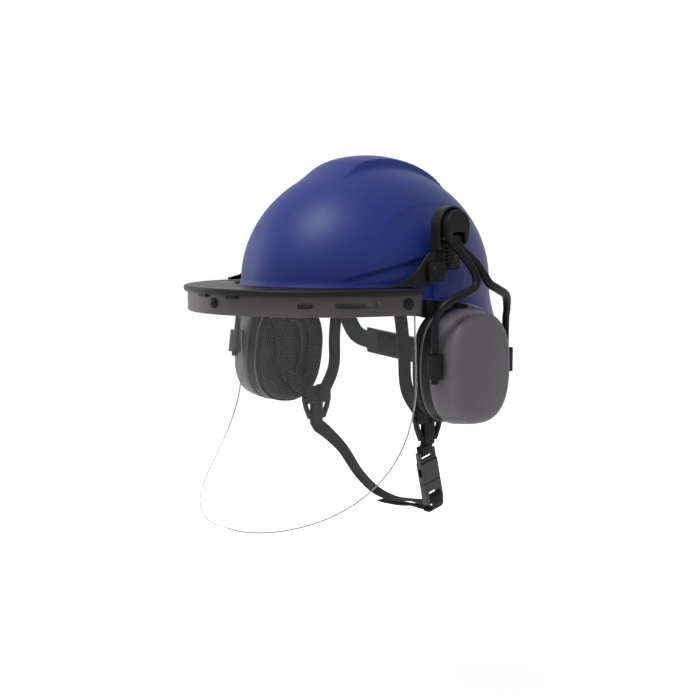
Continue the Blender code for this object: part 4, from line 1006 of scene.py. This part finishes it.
strapping = {
    "width": 15.0, "thick": 1.5, "edge": 0.55, "gap": 0.35, "crownWidth": 19.0, "crownTop": 92.0,
    "strapX": 85.0, "keyReach": 95.0, "keyAngle": 63.0,
    "keyHeights": {"front": (0.0, 14.0), "rear": (4.0, 18.0)},
    "sliders": {"left": (82.5, -2.0, -118.5), "right": (82.0, 8.0, -118.5)}, "sliderHalf": 10.5,
    "legOut": 9.8, "legFoldOut": 9.6, "legFoldDown": 2.2, "middleBar": 4.5,
    "foldThick": 1.2, "foldGap": 0.15,
    # each fold's width, half its bar's thickness and how far its ends reach
    "legFold": (14.2, 2.1, 15), "leftFold": (12.5, 1.7, 18), "rightFold": (12.5, 1.7, 21),
    "buckleFold": (14.0, 2.2, 6),
}


def ribbon(path, ways, width, thick, facing, bm=None):
    # a woven strap along a path in millimetres, whose flat side looks where facing says
    section = roundedSection(width / 2, thick / 2, strapping["edge"], 2)
    rings = []
    lengths = [0.0]
    for a, b in zip(path, path[1:]):
        lengths.append(lengths[-1] + (b - a).length * mm)
    for spot, along in zip(path, ways):
        along = along.normalized()
        out = facing(spot)
        out = (out - along * out.dot(along)).normalized()
        side = along.cross(out)
        rings.append([(spot + side * across + out * up) * mm for across, up in section])
    return sweep(rings, tags=lambda ring, point: (lengths[ring], section[point][0] * mm), bm=bm)


def straightEnded(points, steps=8):
    # a path and its directions, which are straight at both ends so that they meet their neighbours flat
    middle = smoothPath(points[1:-1], steps)
    path = [Vector(points[0]), *middle, Vector(points[-1])]
    first = path[1] - path[0]
    last = path[-1] - path[-2]
    turning = [after - before for before, after in zip(middle, middle[2:])]
    return path, [first, first, *turning, last, last]


def outX(_spot):
    return Vector((1, 0, 0))


def outDown(_spot):
    return Vector((0, 0, -1))


def keyPlace(end):
    # where a suspension key sits, in front of the ear for -1 and behind it for 1
    angle = math.radians(strapping["keyAngle"])
    reach = strapping["keyReach"]
    return Vector((reach * math.sin(angle), end * reach * math.cos(angle), 0))


def ribbonAcross(path, side, width, thick, bm=None, ways=None):
    # a strap whose width always lies along one direction
    ways = ways or directions(path)
    lookup = {tuple(spot): way.cross(side) for spot, way in zip(path, ways)}
    return ribbon(path, ways, width, thick, lambda spot: lookup[tuple(spot)], bm)


def webPiece(name, bm, replaced=(), place=None, body="helmet"):
    return closedPiece(name, bm, "webbing_black", body, replaced, 50, place)


def foldLoop(centre, down, width, halfBar, reach, bm):
    # a strap's end turned round a bar and back along itself; the stitching is not drawn
    out = Vector((1, 0, 0))
    radius = halfBar + strapping["thick"] / 2 + strapping["foldGap"]
    path = [centre - down * (reach * (1 - i / 4)) + out * radius for i in range(5)]
    for i in range(1, 12):
        angle = math.pi * i / 12
        path.append(centre + out * radius * math.cos(angle) + down * radius * math.sin(angle))
    path += [centre - down * (reach * i / 4) - out * radius for i in range(5)]
    ribbonAcross(path, down.cross(out), width, strapping["foldThick"], bm)


def makeChinStraps():
    # on each side two legs run from the keys to a slider, and fold round its upper bars
    s = strapping
    for side, sign in sides.items():
        mirror = Matrix.Diagonal((sign, 1, 1, 1))
        slider = Vector(s["sliders"][side])
        top = slider.z + s["sliderHalf"] + s["gap"]
        for end, where in ((-1, "front"), (1, "rear")):
            key = keyPlace(end)
            low = s["keyHeights"][where][0] - s["gap"]
            legY = slider.y + end * s["legOut"]
            points = ((key.x, key.y, low), (key.x, key.y, low - 3),
                      (s["strapX"], key.y * 0.92, low - 16),
                      (s["strapX"] - 0.2, key.y * 0.82, -45.0),
                      (s["strapX"] - 0.9, key.y * 0.62 + legY * 0.38, -78.0),
                      (slider.x, legY, top + 5), (slider.x, legY, top))
            path, ways = straightEnded(points)
            bm = ribbon(path, ways, s["width"], s["thick"], outX)
            webPiece(f"chin_web_{where}_{side}", bm, (f"chin_strap_{where}_{side}",), mirror)
        moulded(f"web_slider_{side}", f"strap_slider_{side}", "black_plastic", "helmet", 0.35, 4)
        bm = bmesh.new()
        for out in (-s["legFoldOut"], s["legFoldOut"]):
            bar = Vector((slider.x, slider.y + out, top - s["legFoldDown"]))
            foldLoop(bar, Vector((0, 0, -1)), *s["legFold"], bm)
        webPiece(f"slider_folds_{side}", bm, (), mirror)


def makeCrownStraps():
    # two straps that cross over the head, the second above the first
    s = strapping
    start = keyPlace(-1)
    for count, name in enumerate(("a", "b")):
        side = 1 - 2 * count
        rise = s["crownTop"] + count * 2 * s["thick"]
        points = []
        for i in range(9):
            angle = math.pi * i / 8
            low = s["keyHeights"]["front" if i < 4 else "rear"][1] + 3 * s["gap"]
            height = low + (rise - low) * math.sin(angle)
            reach = math.cos(angle)
            points.append(Vector((side * start.x * reach, start.y * reach, height)))
        path = smoothPath(points, 8)
        across = (points[-1] - points[0]).normalized().cross(Vector((0, 0, 1))).normalized()
        ways = [points[1] - points[0], *directions(path)[1:-1], points[-1] - points[-2]]
        bm = ribbonAcross(path, across, s["crownWidth"], s["thick"], ways=ways)
        webPiece(f"crown_web_{name}", bm, (f"crown_strap_{name}",))


# buckle and the webbing under the chin

# the wrap runs from the webbing's end up through the slot, round the bar and back to the tail,
# as pairs of distance outward and upward from the buckle's foot
buckle = {
    "middle": (81.0, 2.0, -162.5), "tilt": 13.5, "halfLength": 25.0, "foldUp": 1.4,
    "webIn": 9.0, "webBack": 3.0, "webDown": 4.5, "wrapWidth": 14.6, "wrapThick": 1.3, "wrapLean": 3.2 / 9,
    "wrap": ((-9, -4.5), (-7, -3.3), (-5.6, -1.2), (-5.2, 1.5), (-3.7, 5.2), (0, 6.7), (3.7, 5.2),
             (5.2, 1.5), (5.3, -1.5), (4.4, -4.6), (1.5, -7.4), (-3.5, -8.8), (-9, -9.1)),
}


def buckleTurn():
    tilt = Matrix.Rotation(math.radians(buckle["tilt"]), 4, "X")
    return Matrix.Translation(Vector(buckle["middle"])) @ tilt


def chinFacing(spot):
    # the webbing's flat side turns from outward beside the jaw to downward under the chin
    share = max(0.0, min(1.0, (spot.z + 200) / 70)) if spot.x < 0 else 0.0
    return Vector((-share, 0, share - 1))


def makeBuckle():
    s = strapping
    b = buckle
    turn = buckleTurn()
    end = b["halfLength"]
    moulded("buckle_body", "buckle_socket", "buckle_grey", "helmet", 0.32, 4)
    moulded("buckle_insert", "buckle_plug", "buckle_grey", "buckle_half", 0.32, 4)
    slider = Vector(s["sliders"]["left"])
    low = slider - Vector((0, 0, s["sliderHalf"] + s["gap"]))
    high = end + s["gap"]
    points = (low, low - Vector((0, 0, 0.5)), turn @ Vector((0, 0, high + 0.5)), turn @ Vector((0, 0, high)))
    path, ways = straightEnded(points, 6)
    bm = ribbon(path, ways, s["width"], s["thick"], outX)
    webPiece("buckle_web_top", bm, ("buckle_tab_strap",))
    down = (turn.to_3x3() @ Vector((0, 0, -1))).normalized()
    bm = bmesh.new()
    foldLoop(slider + Vector((0, 0, s["middleBar"])), Vector((0, 0, 1)), *s["leftFold"], bm)
    foldLoop(turn @ Vector((0, 0, end - b["foldUp"])), down, *s["buckleFold"], bm)
    webPiece("buckle_web_folds", bm)
    foot = turn @ Vector((0, 0, -end))
    path = [foot + Vector((x, -b["wrapLean"] * min(0, x), 0)) - down * z for x, z in b["wrap"]]
    side = (turn.to_3x3() @ Vector((0, 1, 0))).normalized()
    bm = ribbonAcross(smoothPath(path, 5), side, b["wrapWidth"], b["wrapThick"])
    webPiece("buckle_web_wrap", bm, body="buckle_half")


def chinWeb(name, points, facing, replaced):
    # a stretch of the webbing that runs from the helmet at one end to the plug at the other
    path, ways = straightEnded(points)
    bm = ribbon(path, ways, strapping["width"], strapping["thick"], facing)
    made = webPiece(name, bm, replaced, body=None)
    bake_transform(made)


def makeChinWebbing():
    s = strapping
    b = buckle
    plug = buckleTurn() @ Vector((0, 0, -b["halfLength"]))
    x, y, z = s["sliders"]["right"]
    top = z - s["sliderHalf"] - s["gap"]
    points = ((-x, y, top - 0.4), (-x, y, top - 5.5), (-76.0, 17.5, -144.0), (-63.0, 27.0, -160.0),
              (-46.0, 32.0, -182.0), (-25.0, 34.0, -196.0), (0.0, 32.0, -200.5), (28.0, 26.0, -197.5),
              (52.0, 17.0, -192.5), (plug.x - b["webIn"], plug.y + b["webBack"], plug.z - b["webDown"]))
    chinWeb("chin_web", points, chinFacing, ("chin_webbing",))
    tail = [Vector(spot) + Vector((0, 0.5, -4.5)) for spot in points[6:]]
    chinWeb("chin_web_tail", [Vector((-11.0, 32.5, -204.5)), *tail], outDown, ("chin_webbing_tail",))
    bm = bmesh.new()
    foldLoop(Vector((-x, y, z + s["middleBar"])), Vector((0, 0, 1)), *s["rightFold"], bm)
    webPiece("chin_web_fold", bm)


# stage, light and camera

stage = {
    "floor": -0.42, "size": 60.0, "world": 1.02,
    "camera": (860.1, -821.2, 68.9), "look": (-0.7287, 0.6772, -0.1018), "lens": 64.4,
    "lamps": (("key", (-0.05, -1.5, 2.5), 1.0, 112), ("left", (-2.0, -0.9, 0.5), 1.2, 11)),
}


def makeStage():
    # a white room: pale floor, even light all round, a soft lamp above and a weak one at the left
    look = Finish("paleFloor")
    color = look.tint(look.grain(400.0, 2.0), (0.975, 0.975, 0.975), (0.990, 0.990, 0.990))
    bm = bmesh.new()
    bmesh.ops.create_grid(bm, x_segments=4, y_segments=4, size=stage["size"])
    bmesh.ops.translate(bm, vec=(0, 0, stage["floor"]), verts=bm.verts[:])
    floor = meshObject("studio_floor", bm)
    floor.data.materials.append(look.surface(Base_Color=color, Roughness=0.9))
    world = bpy.data.worlds.new("studio")
    world.use_nodes = True
    glow = world.node_tree.nodes["Background"].inputs
    glow["Color"].default_value = (1, 1, 1, 1)
    glow["Strength"].default_value = stage["world"]
    bpy.context.scene.world = world
    for name, place, size, power in stage["lamps"]:
        light = bpy.data.lights.new(name, "AREA")
        light.size = size
        light.energy = power
        lamp = bpy.data.objects.new(name, light)
        lamp.location = place
        lamp.rotation_euler = (-Vector(place)).to_track_quat("-Z", "Y").to_euler()
        bpy.context.scene.collection.objects.link(lamp)
    eye = bpy.data.cameras.new("camera")
    eye.lens = stage["lens"]
    camera = bpy.data.objects.new("camera", eye)
    camera.location = Vector(stage["camera"]) * mm
    camera.rotation_euler = Vector(stage["look"]).to_track_quat("-Z", "Y").to_euler()
    bpy.context.scene.collection.objects.link(camera)
    bpy.context.scene.camera = camera
    bpy.context.scene.view_settings.view_transform = "Standard"


makeStage()
makeShell()
makeBosses()
print("shell made")
makeBand()
makePins()
makePlate()
makeSheet()
print("visor made")
for side in sides:
    makeMuff(side)
    makeAdapter(side)
print("muffs made")
makeSuspension()
makeCrownStraps()
makeChinStraps()
makeBuckle()
makeChinWebbing()
print("straps made")
